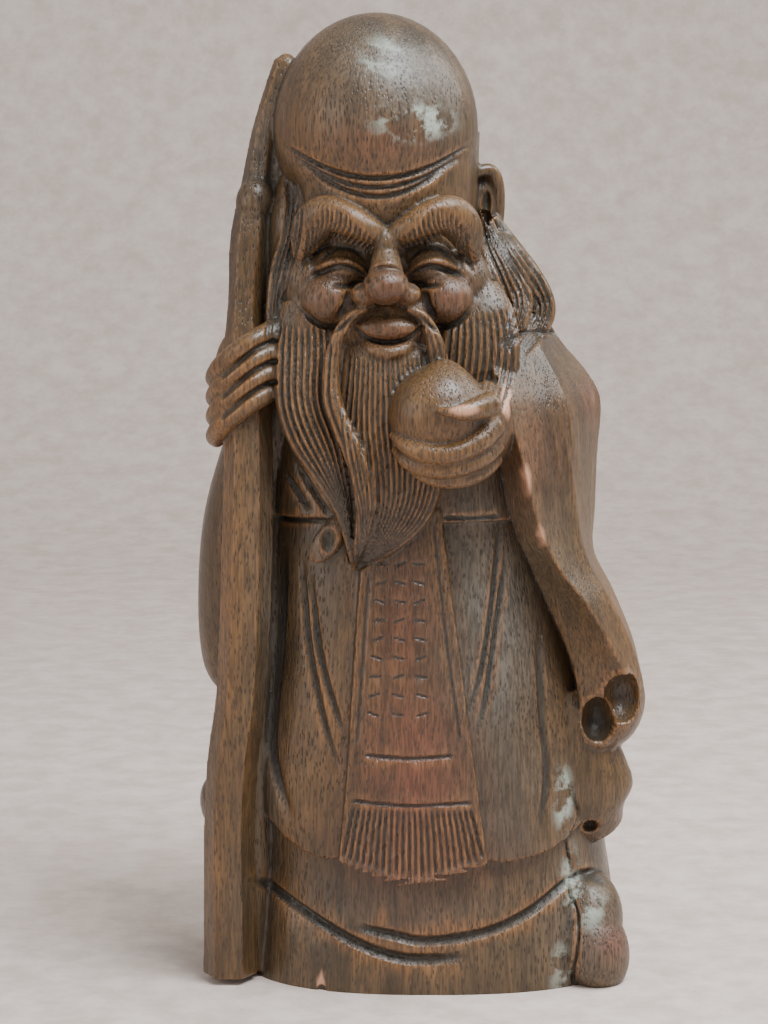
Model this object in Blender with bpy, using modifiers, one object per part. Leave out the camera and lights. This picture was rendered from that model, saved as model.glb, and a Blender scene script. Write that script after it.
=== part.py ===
"""A carved wooden figure of Shoulao, the old man of long life, with his staff and peach.

The figure is cut from one piece of wood: robe, sleeves, head, beard, hands, peach and staff
are all one solid, so the model is one object. It stands on its sawn underside, and faces -Y.
Rough forms are laid over each other the way a carver leaves them standing in the block, are
fused by a voxel remesh, and are then cut with grooves.

Every place and size is a share of the figure's height, in thousandths of it: x to the
viewer's right, y away from the viewer, z up from the foot.
"""

import math

import bmesh
import bpy
import numpy as np
from mathutils import Matrix, Vector

# The driving size, in metres, and the design unit that every share below is counted in.
FIGURE_HEIGHT = 0.260
MIL = FIGURE_HEIGHT / 1000

# How finely the fused block is cut, and how many triangles the finished solid keeps.
BLOCK_VOXEL = 2.6
SOFTEN_STEPS = 2
FINISHED_TRIANGLES = 9700

# Parts whose size can be set by itself.
STAFF_RADIUS = 25
HAND_FINGER_RADIUS = 11
PEACH_RADIUS = 50
SASH_THICKNESS = 8
CHEST_STEP = 6
UNDER_ROBE_INSET = 11
GROOVE_DEPTH = 6
GROOVE_WIDTH = 9
WRINKLE_WIDTH = 9
FOOT_DEPTH = 14

WOOD_COLOUR = (0.16, 0.085, 0.035, 1.0)
WOOD_ROUGHNESS = 0.45


# Curves and outlines

def smooth_path(points, count):
    """Points spread evenly along a smooth curve through the given ones."""
    knots = np.array(points, float)
    ends = np.vstack([2 * knots[0] - knots[1], knots, 2 * knots[-1] - knots[-2]])
    steps = np.linspace(0, 1, 24, endpoint=False)[:, None]
    pieces = []
    for a, b, c, d in zip(ends, ends[1:], ends[2:], ends[3:]):
        bend = 2 * a - 5 * b + 4 * c - d
        pieces.append(b + 0.5 * steps * ((c - a) + steps * (bend + steps * (3 * b - a - 3 * c + d))))
    fine = np.vstack([*pieces, knots[-1:]])
    run = np.concatenate([[0], np.cumsum(np.linalg.norm(np.diff(fine, axis=0), axis=1))])
    even = np.linspace(0, run[-1], count)
    return np.column_stack([np.interp(even, run, fine[:, i]) for i in range(fine.shape[1])])


def along(values, where):
    """A size given at a few even steps of a length, read smoothly anywhere along it."""
    spread = smooth_path([(i / (len(values) - 1), v) for i, v in enumerate(values)], 64)
    return np.interp(where, spread[:, 0], spread[:, 1])


def profile(table):
    """A function of height that runs smoothly through (height, size) pairs."""
    curve = smooth_path(table, 160)
    order = np.argsort(curve[:, 0])
    return lambda z: np.interp(z, curve[order, 0], curve[order, 1])


# Rough forms. Each is one closed mesh, in metres, and all of them are fused.

def mesh_object(name, points, faces):
    mesh = bpy.data.meshes.new(name)
    mesh.from_pydata([tuple(p) for p in np.asarray(points) * MIL], [], faces)
    obj = bpy.data.objects.new(name, mesh)
    bpy.context.scene.collection.objects.link(obj)
    return obj


def loft(name, shape, around=72, rings=60):
    """A closed skin over rings: shape(turn, rise) gives x, y and z for turn and rise from 0 to 1."""
    turn, rise = np.meshgrid(np.arange(around) / around, np.linspace(0, 1, rings))
    points = np.stack(shape(turn, rise), axis=-1).reshape(-1, 3)
    faces = []
    for ring in range(rings - 1):
        for i in range(around):
            j = (i + 1) % around
            low, high = ring * around, (ring + 1) * around
            faces.append((low + i, low + j, high + j, high + i))
    faces.append(tuple(reversed(range(around))))
    faces.append(tuple(range((rings - 1) * around, rings * around)))
    return mesh_object(name, points, faces)


def ball(name, centre, radii, tilt=(0, 0, 0)):
    """An ellipsoid, turned by tilt in degrees about x, y and z."""
    mesh = bpy.data.meshes.new(name)
    shape = bmesh.new()
    bmesh.ops.create_uvsphere(shape, u_segments=40, v_segments=24, radius=1)
    turn = Matrix.Identity(4)
    for axis, degrees in zip("XYZ", tilt):
        turn = Matrix.Rotation(math.radians(degrees), 4, axis) @ turn
    size = Matrix.Diagonal((*[r * MIL for r in radii], 1))
    shape.transform(Matrix.Translation(Vector(centre) * MIL) @ turn @ size)
    shape.to_mesh(mesh)
    shape.free()
    obj = bpy.data.objects.new(name, mesh)
    bpy.context.scene.collection.objects.link(obj)
    return obj


def rod(name, path, radii):
    """A round rod along a path, thick as radii say at even steps of its length."""
    points = smooth_path(path, 12 * len(path))
    curve = bpy.data.curves.new(name, "CURVE")
    curve.dimensions = "3D"
    curve.bevel_depth = MIL
    curve.bevel_resolution = 5
    curve.use_fill_caps = True
    spline = curve.splines.new("POLY")
    spline.points.add(len(points) - 1)
    sizes = along(radii, np.linspace(0, 1, len(points)))
    for knot, place, radius in zip(spline.points, points, sizes):
        knot.co = (*(place * MIL), 1)
        knot.radius = max(radius, 0.5)
    obj = bpy.data.objects.new(name, curve)
    bpy.context.scene.collection.objects.link(obj)
    return solid_from_curve(obj)


def solid_from_curve(obj):
    """The mesh that a curve draws, with its caps welded on, in place of the curve."""
    graph = bpy.context.evaluated_depsgraph_get()
    mesh = bpy.data.meshes.new_from_object(obj.evaluated_get(graph))
    shape = bmesh.new()
    shape.from_mesh(mesh)
    bmesh.ops.remove_doubles(shape, verts=shape.verts, dist=1e-6)
    shape.to_mesh(mesh)
    shape.free()
    name = obj.name
    bpy.data.objects.remove(obj)
    solid = bpy.data.objects.new(name, mesh)
    bpy.context.scene.collection.objects.link(solid)
    return solid


def lock(name, path, widths, thickness):
    """A lock of hair or a fold of cloth: a flattened sweep, lens-shaped across."""
    rings = 14 * len(path)
    spine = smooth_path(path, rings)
    ahead = np.gradient(spine, axis=0)
    ahead /= np.linalg.norm(ahead, axis=1)[:, None]
    across = np.cross(ahead, (0, -1, 0))
    across /= np.linalg.norm(across, axis=1)[:, None]
    out = np.cross(across, ahead)
    at = np.linspace(0, 1, rings)
    half = np.maximum(along([w / 2 for w in widths], at), 1)
    deep = np.maximum(along(thickness, at), 1)

    def shape(turn, rise):
        row = np.rint(rise * (rings - 1)).astype(int)
        side, face = np.cos(2 * math.pi * turn), np.sin(2 * math.pi * turn)
        points = (spine[row] + across[row] * (half[row] * side)[..., None]
                  + out[row] * (deep[row] * face)[..., None])
        return points[..., 0], points[..., 1], points[..., 2]

    return loft(name, shape, around=32, rings=rings)


# The clothed body

LEFT_OF_ROBE = profile([(-20, -182), (130, -180), (200, -180), (260, -174), (350, -166), (430, -160),
                        (490, -156), (560, -155), (620, -148), (680, -122), (720, -95), (750, -75)])
RIGHT_OF_ROBE = profile([(-20, 212), (60, 212), (130, 208), (200, 198), (260, 188), (350, 168), (430, 152),
                         (490, 142), (560, 134), (620, 126), (680, 105), (720, 55), (750, 20)])
FRONT_OF_ROBE = profile([(-20, 150), (130, 152), (200, 151), (260, 147), (350, 138), (430, 130),
                         (490, 122), (560, 118), (620, 112), (680, 96), (720, 72), (750, 55)])
BACK_OF_ROBE = profile([(-20, 136), (130, 134), (200, 132), (260, 128), (350, 122), (430, 118),
                        (490, 116), (560, 114), (620, 108), (680, 86), (720, 64), (750, 50)])
ROBE_SQUARENESS = 2.5


def rounded(turn, squareness):
    """Across and deep, each from -1 to 1, round an outline between an ellipse and a square."""
    side, deep = np.cos(2 * math.pi * turn), np.sin(2 * math.pi * turn)
    power = 2 / squareness
    return np.sign(side) * np.abs(side) ** power, np.sign(deep) * np.abs(deep) ** power


def robe_outline(turn, z, grow=0.0):
    """The robe's outline at a height, with grow added all round."""
    side, deep = rounded(turn, ROBE_SQUARENESS)
    left, right = LEFT_OF_ROBE(z) - grow, RIGHT_OF_ROBE(z) + grow
    x = (left + right) / 2 + side * (right - left) / 2
    y = np.where(deep < 0, FRONT_OF_ROBE(z) + grow, BACK_OF_ROBE(z) + grow) * deep
    return x, y


def robe_front(x, z):
    """How far forward the robe's front stands at a place, as its y."""
    left, right = LEFT_OF_ROBE(z), RIGHT_OF_ROBE(z)
    side = np.clip(np.abs(2 * (x - left) / (right - left) - 1), 0, 0.98)
    return -FRONT_OF_ROBE(z) * (1 - side**ROBE_SQUARENESS) ** (1 / ROBE_SQUARENESS)


ROBE_HEM = [(-186, 212), (-170, 198), (-160, 184), (-143, 162), (-115, 143), (-90, 139), (-70, 148), (0, 152),
            (60, 148), (82, 139), (100, 138), (131, 146), (167, 166), (190, 190), (206, 206)]
BACK_HEM = 176


def robe():
    hem = profile(ROBE_HEM)

    def shape(turn, rise):
        x, y = robe_outline(turn, 170.0 + 0 * turn)
        foot = np.where(y < 0, hem(x), BACK_HEM + (hem(x) - BACK_HEM) * np.exp(-np.maximum(y, 0) / 30))
        z = foot * (1 - rise) + 750 * rise
        return (*robe_outline(turn, z), z)

    return loft("robe", shape, around=120, rings=110)


def under_robe():
    """The skirt below the hem, a step behind it, which spreads again at the foot."""
    def shape(turn, rise):
        z = -FOOT_DEPTH + (330 + FOOT_DEPTH) * rise
        spread = 11 * np.clip(1 - z / 130, 0, 1)
        x, y = robe_outline(turn, z, spread - UNDER_ROBE_INSET)
        return np.where(x > 100, x + 4 * (x - 100) / 100, x), y, z

    return loft("under_robe", shape, around=96, rings=50)


def chest_cloth():
    """The crossed robe above the belt, which laps over the skirt in a small step."""
    def shape(turn, rise):
        z = 487 + 240 * rise
        return (*robe_outline(turn, z, CHEST_STEP * (1 - rise)), z)

    return loft("chest_cloth", shape, around=96, rings=40)


SASH_LEFT = profile([(110, -83), (143, -80), (228, -72), (326, -66), (440, -58), (500, -54)])
SASH_RIGHT = profile([(110, 75), (144, 71), (249, 56), (340, 44), (490, 24), (500, 22)])
SASH_TIP = 114
SASH_CORNER = 142


def sash():
    """The panel that hangs down the middle, pointed at its foot, where it stands proud."""
    def shape(turn, rise):
        side, deep = rounded(turn, 9)
        point = SASH_CORNER - (SASH_CORNER - SASH_TIP) * (1 - np.abs(side)) ** 0.8
        z = point * (1 - rise) + 500 * rise
        left, right = SASH_LEFT(z), SASH_RIGHT(z)
        x = (left + right) / 2 + side * (right - left) / 2
        proud = SASH_THICKNESS + 10 * np.exp(-(z - SASH_TIP) / 45)
        front = robe_front(x, np.maximum(z, 135))
        return x, front - np.where(deep < 0, proud, -30), z

    return loft("sash", shape, around=96, rings=80)


STAFF_FOOT = 7


def staff_web():
    """Wood left standing between the staff and the figure."""
    path = [(-130, -24, 930), (-140, -32, 850), (-148, -40, 760), (-150, -44, 680), (-162, -48, 500),
            (-166, -52, 300), (-172, -56, 120), (-176, -56, STAFF_FOOT)]
    return lock("staff_web", path, [22, 34, 44, 44, 46, 46, 50, 52], [16, 22, 26, 30, 34, 36, 36, 36])


def hunched_back():
    return ball("hunched_back", (-12, 38, 622), (164, 98, 158))


RIGHT_SLEEVE = {
    700: [(60, -70), (80, -90), (110, -62), (128, 0), (100, 60)],
    661: [(62, -98), (76, -124), (126, -82), (151, 0), (120, 75)],
    629: [(68, -122), (80, -150), (142, -95), (178, 0), (135, 85)],
    598: [(72, -124), (92, -157), (154, -102), (193, 0), (140, 88)],
    544: [(84, -120), (107, -158), (159, -108), (190, 0), (140, 90)],
    483: [(97, -116), (123, -154), (164, -108), (188, 0), (140, 88)],
    441: [(115, -112), (144, -149), (176, -106), (187, -4), (140, 82)],
    400: [(133, -108), (175, -143), (200, -102), (207, -10), (150, 62)],
    345: [(156, -104), (205, -129), (225, -88), (229, -20), (165, 42)],
    300: [(166, -100), (222, -114), (236, -76), (236, -28), (180, 18)],
    268: [(166, -88), (214, -104), (230, -70), (228, -38), (190, 0)],
    244: [(180, -80), (202, -90), (214, -66), (212, -42), (196, -22)],
}


def right_sleeve():
    """The wide sleeve that hangs from the hand with the peach, with a sharp edge down its mouth."""
    heights = sorted(RIGHT_SLEEVE)
    corners = np.array([RIGHT_SLEEVE[z] for z in heights], float)
    places = [[profile([(z, c[i][k]) for z, c in zip(heights, corners)]) for k in (0, 1)]
              for i in range(corners.shape[1])]
    sides = len(places)

    def shape(turn, rise):
        z = heights[0] + (heights[-1] - heights[0]) * rise
        spots = np.array([[p(z) for p in pair] for pair in places])
        step = turn * sides
        here = np.floor(step).astype(int) % sides
        part = step - np.floor(step)
        grid = np.indices(z.shape)
        x, y = [spots[here, k, grid[0], grid[1]] * (1 - part)
                + spots[(here + 1) % sides, k, grid[0], grid[1]] * part for k in (0, 1)]
        return x, y, z

    return loft("right_sleeve", shape, around=16 * sides, rings=90)


def right_sleeve_end():
    """The foot of the sleeve, which curls up like a scroll."""
    return [
        ball("sleeve_curl", (206, -64, 284), (30, 46, 44), (0, 18, 0)),
        ball("sleeve_curl_lip", (186, -88, 266), (22, 20, 24), (0, 30, 0)),
    ]


def left_sleeve():
    """The sleeve of the arm that holds the staff, which shows behind the staff."""
    left = profile([(278, -190), (291, -208), (321, -225), (386, -230), (473, -224), (543, -206), (600, -185),
                    (650, -160), (700, -130)])
    right = profile([(278, -170), (350, -140), (500, -130), (600, -90), (700, -50)])
    deep = profile([(278, 10), (300, 34), (386, 62), (500, 74), (600, 76), (700, 50)])

    def shape(turn, rise):
        side, away = rounded(turn, 2.2)
        z = 280 + 420 * rise
        x = (left(z) + right(z)) / 2 + side * (right(z) - left(z)) / 2
        return x, -4 + away * deep(z), z

    return loft("left_sleeve", shape, around=48, rings=60)


def robe_corners():
    """The hem's folded corners, which stand out at both sides."""
    return [
        lock("right_corner", [(150, -54, 300), (164, -58, 250), (170, -60, 205), (178, -58, 176), (192, -52, 152)],
             [60, 70, 102, 108, 56], [38, 42, 45, 44, 28]),
        ball("left_corner", (-210, 4, 166), (20, 44, 30), (0, -10, 0)),
        lock("left_corner_fold", [(-180, 0, 280), (-196, 0, 210), (-206, 4, 160)], [30, 40, 34], [40, 40, 40]),
    ]


# The head

HEAD_MIDDLE = -42
DOME_CENTRE = (HEAD_MIDDLE, -44, 882)
DOME_RADII = (104, 112, 117)


def skull():
    front = profile([(628, 112), (670, 122), (700, 122), (730, 115), (750, 113), (775, 124), (800, 136),
                     (830, 146), (880, 154)])
    half = profile([(628, 70), (660, 84), (700, 96), (760, 99), (810, 101), (850, 102), (880, 103)])

    def shape(turn, rise):
        side, deep = rounded(turn, 2.25)
        z = 628 + 250 * rise
        x = HEAD_MIDDLE + 4 + side * half(z)
        return x, np.where(deep < 0, front(z), 62) * deep, z

    return loft("skull", shape, around=96, rings=60)


def dome():
    return ball("dome", DOME_CENTRE, DOME_RADII, (10, 0, 0))


FACE_MIDDLE = -31


def brows():
    """The bushy brows stand out over the eyes like shelves and hang down at their outer ends."""
    made = []
    for side, name in ((-1, "left"), (1, "right")):
        steps = ((5, -136, 775), (20, -141, 784), (40, -139, 794), (60, -131, 798), (76, -120, 784), (88, -108, 752))
        path = [(FACE_MIDDLE + side * x, y, z) for x, y, z in steps]
        made.append(lock(f"{name}_brow", path, [22, 28, 34, 42, 34, 14], [10, 14, 15, 15, 13, 8]))
    made.append(ball("frown", (FACE_MIDDLE, -138, 770), (11, 13, 13)))
    return made


EYE_OFFSET = 44


def eyes():
    """Big eyeballs under closed, smiling lids."""
    made = []
    for side, name in ((-1, "left"), (1, "right")):
        x = FACE_MIDDLE + side * EYE_OFFSET
        made.append(ball(f"{name}_eyeball", (x, -104, 746), (33, 23, 22), (0, side * 10, 0)))
        lid = [(x + side * -25, -119, 735), (x + side * -13, -126, 745), (x + side * 2, -127, 750),
               (x + side * 18, -120, 746), (x + side * 32, -106, 739)]
        made.append(rod(f"{name}_lid", lid, [3, 5, 6, 5, 3]))
    return made


def nose():
    return [
        rod("bridge", [(-32, -118, 778), (-32, -136, 760), (-32, -151, 740)], [10, 13, 18]),
        ball("nose_tip", (-32, -154, 728), (23, 23, 19)),
        ball("left_nostril", (-53, -143, 719), (14, 17, 12)),
        ball("right_nostril", (-11, -143, 719), (14, 17, 12)),
    ]


def cheeks():
    return [
        ball("left_cheek", (-90, -112, 712), (29, 27, 27)),
        ball("right_cheek", (28, -112, 713), (29, 27, 27)),
        ball("left_cheek_side", (-112, -92, 728), (26, 30, 34)),
        ball("right_cheek_side", (48, -92, 728), (26, 30, 34)),
    ]


def mouth():
    return [
        ball("lips_ground", (-30, -118, 684), (50, 26, 34)),
        ball("upper_lip", (-30, -132, 685), (36, 21, 14)),
        rod("lower_lip", [(-60, -126, 676), (-46, -140, 665), (-30, -144, 661), (-14, -140, 665), (0, -126, 676)],
            [4, 6, 7, 6, 4]),
        ball("chin", (-30, -118, 648), (44, 26, 26)),
    ]


def ears():
    made = []
    for x, side, name in ((74, 1, "right"), (-137, -1, "left")):
        rim = [(x - side * 12, -28, 838), (x + side * 1, -22, 838), (x + side * 8, -16, 824), (x + side * 9, -14, 798),
               (x + side * 5, -16, 772), (x - side * 4, -24, 758)]
        made.append(rod(f"{name}_ear_rim", rim, [6, 8, 8, 8, 8, 8]))
        made.append(ball(f"{name}_ear", (x - side * 5, -10, 800), (14, 16, 38)))
    return made


RIGHT_HAIR = {
    "inner": ([(68, -44, 798), (76, -50, 768), (92, -60, 738), (103, -70, 708), (96, -84, 680), (84, -90, 658)],
              [12, 22, 28, 30, 26, 10], [10, 12, 14, 14, 12, 6]),
    "outer": ([(78, -24, 790), (96, -28, 758), (116, -34, 728), (128, -38, 700), (122, -48, 678), (104, -68, 656)],
              [12, 24, 28, 30, 26, 8], [10, 13, 14, 14, 12, 6]),
}
LEFT_HAIR = ([(-130, -56, 836), (-124, -68, 806), (-128, -76, 772), (-138, -84, 738), (-144, -90, 700),
              (-146, -92, 668)], [14, 22, 26, 24, 20, 14], [10, 14, 14, 14, 12, 8])


def hair():
    made = [lock(f"right_hair_{name}", *shape) for name, shape in RIGHT_HAIR.items()]
    made.append(lock("left_hair", *LEFT_HAIR))
    made.append(ball("right_hair_ground", (80, -40, 712), (42, 46, 66)))
    made.append(ball("left_hair_ground", (-128, -52, 752), (26, 34, 90)))
    return made


LEFT_BEARD = ([(-112, -104, 708), (-113, -116, 655), (-112, -128, 606), (-91, -136, 553), (-73, -138, 503),
               (-67, -134, 462), (-65, -126, 441)], [50, 62, 60, 58, 36, 18, 4], [16, 18, 20, 20, 18, 12, 4])
MAIN_BEARD = ([(-30, -128, 664), (-30, -136, 640), (-28, -138, 590), (-24, -140, 545), (-26, -140, 508),
               (-42, -136, 470), (-65, -124, 440)], [86, 96, 108, 104, 84, 44, 4], [16, 20, 22, 24, 22, 16, 5])
RIGHT_BEARD = ([(54, -98, 722), (62, -112, 690), (62, -118, 650), (52, -120, 600)], [56, 76, 80, 64],
               [14, 18, 18, 16])
LEFT_MOUSTACHE = ([(-52, -146, 706), (-68, -148, 696), (-80, -148, 676), (-86, -151, 650), (-86, -156, 622),
                   (-79, -160, 596), (-66, -163, 566), (-56, -163, 536), (-53, -160, 500), (-57, -152, 468),
                   (-65, -134, 440)], [8, 12, 15, 18, 19, 20, 21, 20, 18, 14, 3],
                  [6, 7, 8, 9, 10, 10, 10, 10, 9, 8, 4])
RIGHT_MOUSTACHE = ([(-10, -146, 706), (6, -146, 696), (16, -146, 674), (20, -144, 650), (18, -140, 620)],
                   [8, 12, 18, 22, 20], [6, 7, 8, 8, 7])


def beard():
    return [
        lock("beard_ground", [(-30, -92, 706), (-34, -104, 650), (-44, -112, 590), (-52, -116, 540), (-60, -118, 490),
                              (-64, -116, 452)], [150, 176, 156, 112, 60, 10], [18, 24, 24, 22, 18, 8]),
        lock("left_beard", *LEFT_BEARD),
        lock("main_beard", *MAIN_BEARD),
        lock("right_beard", *RIGHT_BEARD),
        lock("left_moustache", *LEFT_MOUSTACHE),
        lock("right_moustache", *RIGHT_MOUSTACHE),
    ]


# The hands, the peach and the staff

def peach():
    centre = Vector((21, -166, 602))
    tip = Vector((0.14, 0.1, 1)).normalized()
    fruit = ball("peach", centre, (PEACH_RADIUS, PEACH_RADIUS * 0.92, PEACH_RADIUS * 0.96))
    for vertex in fruit.data.vertices:
        reach = vertex.co - centre * MIL
        vertex.co += tip * MIL * 7 * math.exp(-((reach.angle(tip) / 0.4) ** 2))
    return fruit


def peach_hand():
    """The hand comes out of the right sleeve and cups the peach from below, its thumb in front."""
    return [
        ball("palm", (68, -154, 590), (22, 40, 44), (0, 0, -10)),
        ball("cupped_hand", (28, -158, 572), (50, 40, 40)),
        rod("upper_finger", [(-26, -178, 583), (-12, -194, 573), (6, -203, 567), (26, -205, 566), (44, -201, 570),
                             (62, -190, 580), (74, -174, 592)], [4, 8, 10, 10, 11, 13, 14]),
        rod("middle_finger", [(-24, -172, 568), (-12, -188, 557), (6, -197, 551), (26, -199, 550), (46, -195, 553),
                              (64, -183, 560), (78, -165, 571)], [4, 7, 8.5, 9, 9, 10, 10]),
        rod("lower_finger", [(-12, -168, 554), (4, -182, 543), (24, -188, 538), (46, -186, 539), (66, -173, 546),
                             (78, -158, 557)], [4, 7, 8, 8, 8, 8]),
        rod("thumb", [(17, -213, 611), (30, -217, 609), (44, -215, 609), (58, -207, 612), (72, -194, 615)],
            [1.5, 6, 10, 12, 13]),
        ball("wrist", (76, -140, 590), (20, 36, 40)),
    ]


STAFF_PATH = [(-135, -26, 950), (-147, -32, 912), (-157, -38, 872), (-164, -48, 822), (-168, -56, 792), (-173, -64, 738),
              (-176, -74, 688), (-173, -88, 608), (-172, -98, 527), (-174, -104, 445), (-177, -106, 362), (-181, -104, 298),
              (-190, -100, 234), (-194, -98, 160), (-194, -96, 85), (-194, -94, STAFF_FOOT)]
STAFF_THICKNESS = [0.44, 0.5, 0.62, 0.8, 0.68, 0.92, 0.95, 0.98, 1.0, 1.0, 1.0, 1.0, 1.0, 1.02, 1.06, 1.08]


def staff():
    path = smooth_path(STAFF_PATH, 40)
    return [
        rod("staff", path, [STAFF_RADIUS * s for s in STAFF_THICKNESS]),
        ball("staff_head", (-134, -26, 942), (12, 12, 16)),
        ball("staff_knot", (-166, -58, 808), (19, 20, 24), (0, 8, 0)),
    ]


def staff_hand():
    """Four fingers close slantwise round the staff."""
    made = []
    for i in range(4):
        drop = i * 20
        path = [(-140, -88, 686 - drop), (-152, -113, 678 - drop), (-174, -125, 665 - drop),
                (-195, -113, 647 - drop), (-206, -88, 632 - drop), (-206, -60, 624 - drop)]
        made.append(rod(f"staff_finger_{i + 1}", path, [HAND_FINGER_RADIUS * s for s in (0.8, 1, 1, 1, 0.9, 0.8)]))
    made.append(ball("staff_palm", (-178, -70, 632), (30, 34, 50)))
    return made


def bow_end():
    """The leaf-shaped end of the belt's bow."""
    return ball("bow_end", (-90, -120, 469), (14, 10, 29), (0, 36, 0))


def foot():
    """The tip of a shoe shows at the skirt's corner."""
    return [
        ball("shoe", (184, -92, 34), (37, 46, 50), (0, -16, 0)),
        ball("shoe_side", (180, -76, 62), (36, 50, 50)),
    ]


def blocks():
    made = [robe(), under_robe(), chest_cloth(), sash(), staff_web(), hunched_back(), right_sleeve(),
            left_sleeve(), skull(), dome(), peach(), bow_end()]
    for group in (right_sleeve_end, robe_corners, brows, eyes, nose, cheeks, mouth, ears, hair, beard,
                  peach_hand, staff, staff_hand, foot):
        made.extend(group())
    return made


# Fusing and cutting

def fuse(name, pieces, voxel):
    """One skin over all the pieces, from a voxel remesh."""
    with bpy.context.temp_override(active_object=pieces[0], selected_editable_objects=pieces):
        bpy.ops.object.join()
    block = pieces[0]
    remesh = block.modifiers.new("fuse", "REMESH")
    remesh.mode = "VOXEL"
    remesh.voxel_size = voxel * MIL
    smooth = block.modifiers.new("soften", "SMOOTH")
    smooth.factor = 0.5
    smooth.iterations = SOFTEN_STEPS
    graph = bpy.context.evaluated_depsgraph_get()
    mesh = bpy.data.meshes.new_from_object(block.evaluated_get(graph))
    mesh.name = name
    bpy.data.objects.remove(block)
    obj = bpy.data.objects.new(name, mesh)
    bpy.context.scene.collection.objects.link(obj)
    return obj


def keep_main_body(obj):
    """Drops the small shells that fusing leaves in pockets between the pieces."""
    shape = bmesh.new()
    shape.from_mesh(obj.data)
    waiting, bodies = set(shape.verts), []
    while waiting:
        body, edge = set(), {waiting.pop()}
        while edge:
            body |= edge
            edge = {e.other_vert(v) for v in edge for e in v.link_edges} - body
        waiting -= body
        bodies.append(body)
    main_body = max(bodies, key=len)
    loose = [v for body in bodies if body is not main_body for v in body]
    bmesh.ops.delete(shape, geom=loose, context="VERTS")
    shape.to_mesh(obj.data)
    shape.free()


class Relief:
    """How deep the surface is cut at each point, gathered stroke by stroke, as seen from the front."""

    def __init__(self, mesh):
        count = len(mesh.vertices)
        self.points = np.empty(count * 3, np.float32)
        mesh.vertices.foreach_get("co", self.points)
        self.points = self.points.reshape(-1, 3).astype(float) / MIL
        normals = np.empty(count * 3, np.float32)
        mesh.vertex_normals.foreach_get("vector", normals)
        self.normals = normals.reshape(-1, 3).astype(float)
        self.depth = np.zeros(count)
        self.facing = np.clip(-4 * self.normals[:, 1], 0, 1)

    def distance(self, path, reach, back, front):
        """Which points lie within reach of a path of (x, z) places, how far off, and how far along it."""
        x, z = self.points[:, 0], self.points[:, 2]
        near = ((x > path[:, 0].min() - reach) & (x < path[:, 0].max() + reach)
                & (z > path[:, 1].min() - reach) & (z < path[:, 1].max() + reach)
                & (self.facing > 0) & (self.points[:, 1] < back) & (self.points[:, 1] > front))
        index = np.nonzero(near)[0]
        spots = np.column_stack([x[index], z[index]])
        best, place = np.full(len(index), 1e9), np.zeros(len(index))
        run = np.concatenate([[0], np.cumsum(np.linalg.norm(np.diff(path, axis=0), axis=1))])
        for i, (a, b) in enumerate(zip(path, path[1:])):
            span = b - a
            share = np.clip(((spots - a) @ span) / max(span @ span, 1e-9), 0, 1)
            gap = np.linalg.norm(spots - a - share[:, None] * span, axis=1)
            closer = gap < best
            best[closer] = gap[closer]
            place[closer] = (run[i] + share[closer] * (run[i + 1] - run[i])) / run[-1]
        inside = best < reach
        return index[inside], best[inside], place[inside]

    def stroke(self, points, width=GROOVE_WIDTH, depth=GROOVE_DEPTH, taper=0.25, back=-20, front=-300):
        """A V groove along a smooth path, running out at its ends. It cuts only between front and back."""
        index, gap, place = self.distance(smooth_path(points, 24), width / 2, back, front)
        ends = np.clip(np.minimum(place, 1 - place) / max(taper, 1e-3), 0, 1) ** 0.7
        cut = depth * (1 - gap / (width / 2)) * np.maximum(ends, 0.15)
        self.depth[index] = np.maximum(self.depth[index], cut * self.facing[index])

    def comb(self, path, widths, strands, width, depth, start=0.0, end=1.0, back=-40, front=-174, taper=0.08):
        """Strand lines that run side by side down a lock."""
        spine = smooth_path([(p[0], p[2]) for p in path], 40)
        ahead = np.gradient(spine, axis=0)
        ahead /= np.linalg.norm(ahead, axis=1)[:, None]
        half = along([w / 2 for w in widths], np.linspace(0, 1, len(spine)))
        part = slice(round(start * 39), round(end * 39) + 1)
        for i in range(1, strands):
            share = 2 * i / strands - 1
            line = spine + share * half[:, None] * np.column_stack([ahead[:, 1], -ahead[:, 0]])
            self.stroke(line[part], width, depth, taper, back, front)

    def hollow(self, centre, radii):
        """Hollows a bowl out of the surface, as seen from the front."""
        offset = (self.points - np.array(centre)) / np.array(radii)
        flat = offset[:, 0] ** 2 + offset[:, 2] ** 2
        inside = (flat < 1) & (np.abs(offset[:, 1]) < 1.6) & (self.facing > 0)
        floor = centre[1] + radii[1] * (1 - np.clip(flat, 0, 1)) ** 0.7
        self.points[:, 1] = np.where(inside, np.maximum(self.points[:, 1], floor), self.points[:, 1])

    def apply(self, mesh):
        moved = self.points - self.normals * self.depth[:, None]
        mesh.vertices.foreach_set("co", (moved * MIL).astype(np.float32).ravel())
        mesh.update()


# The cuts. Their places are across and up, as shares of the height.

def wrinkles(relief):
    """Three folds sag across the forehead, under the bald dome."""
    for drop, spread, depth in ((0, 95, 7), (9, 88, 6), (18, 74, 6)):
        path = [(-41 + spread * s, 834 - drop + 33 * s * s) for s in np.linspace(-1, 1, 9)]
        relief.stroke(path, WRINKLE_WIDTH, depth, 0.15, back=-30)


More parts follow.
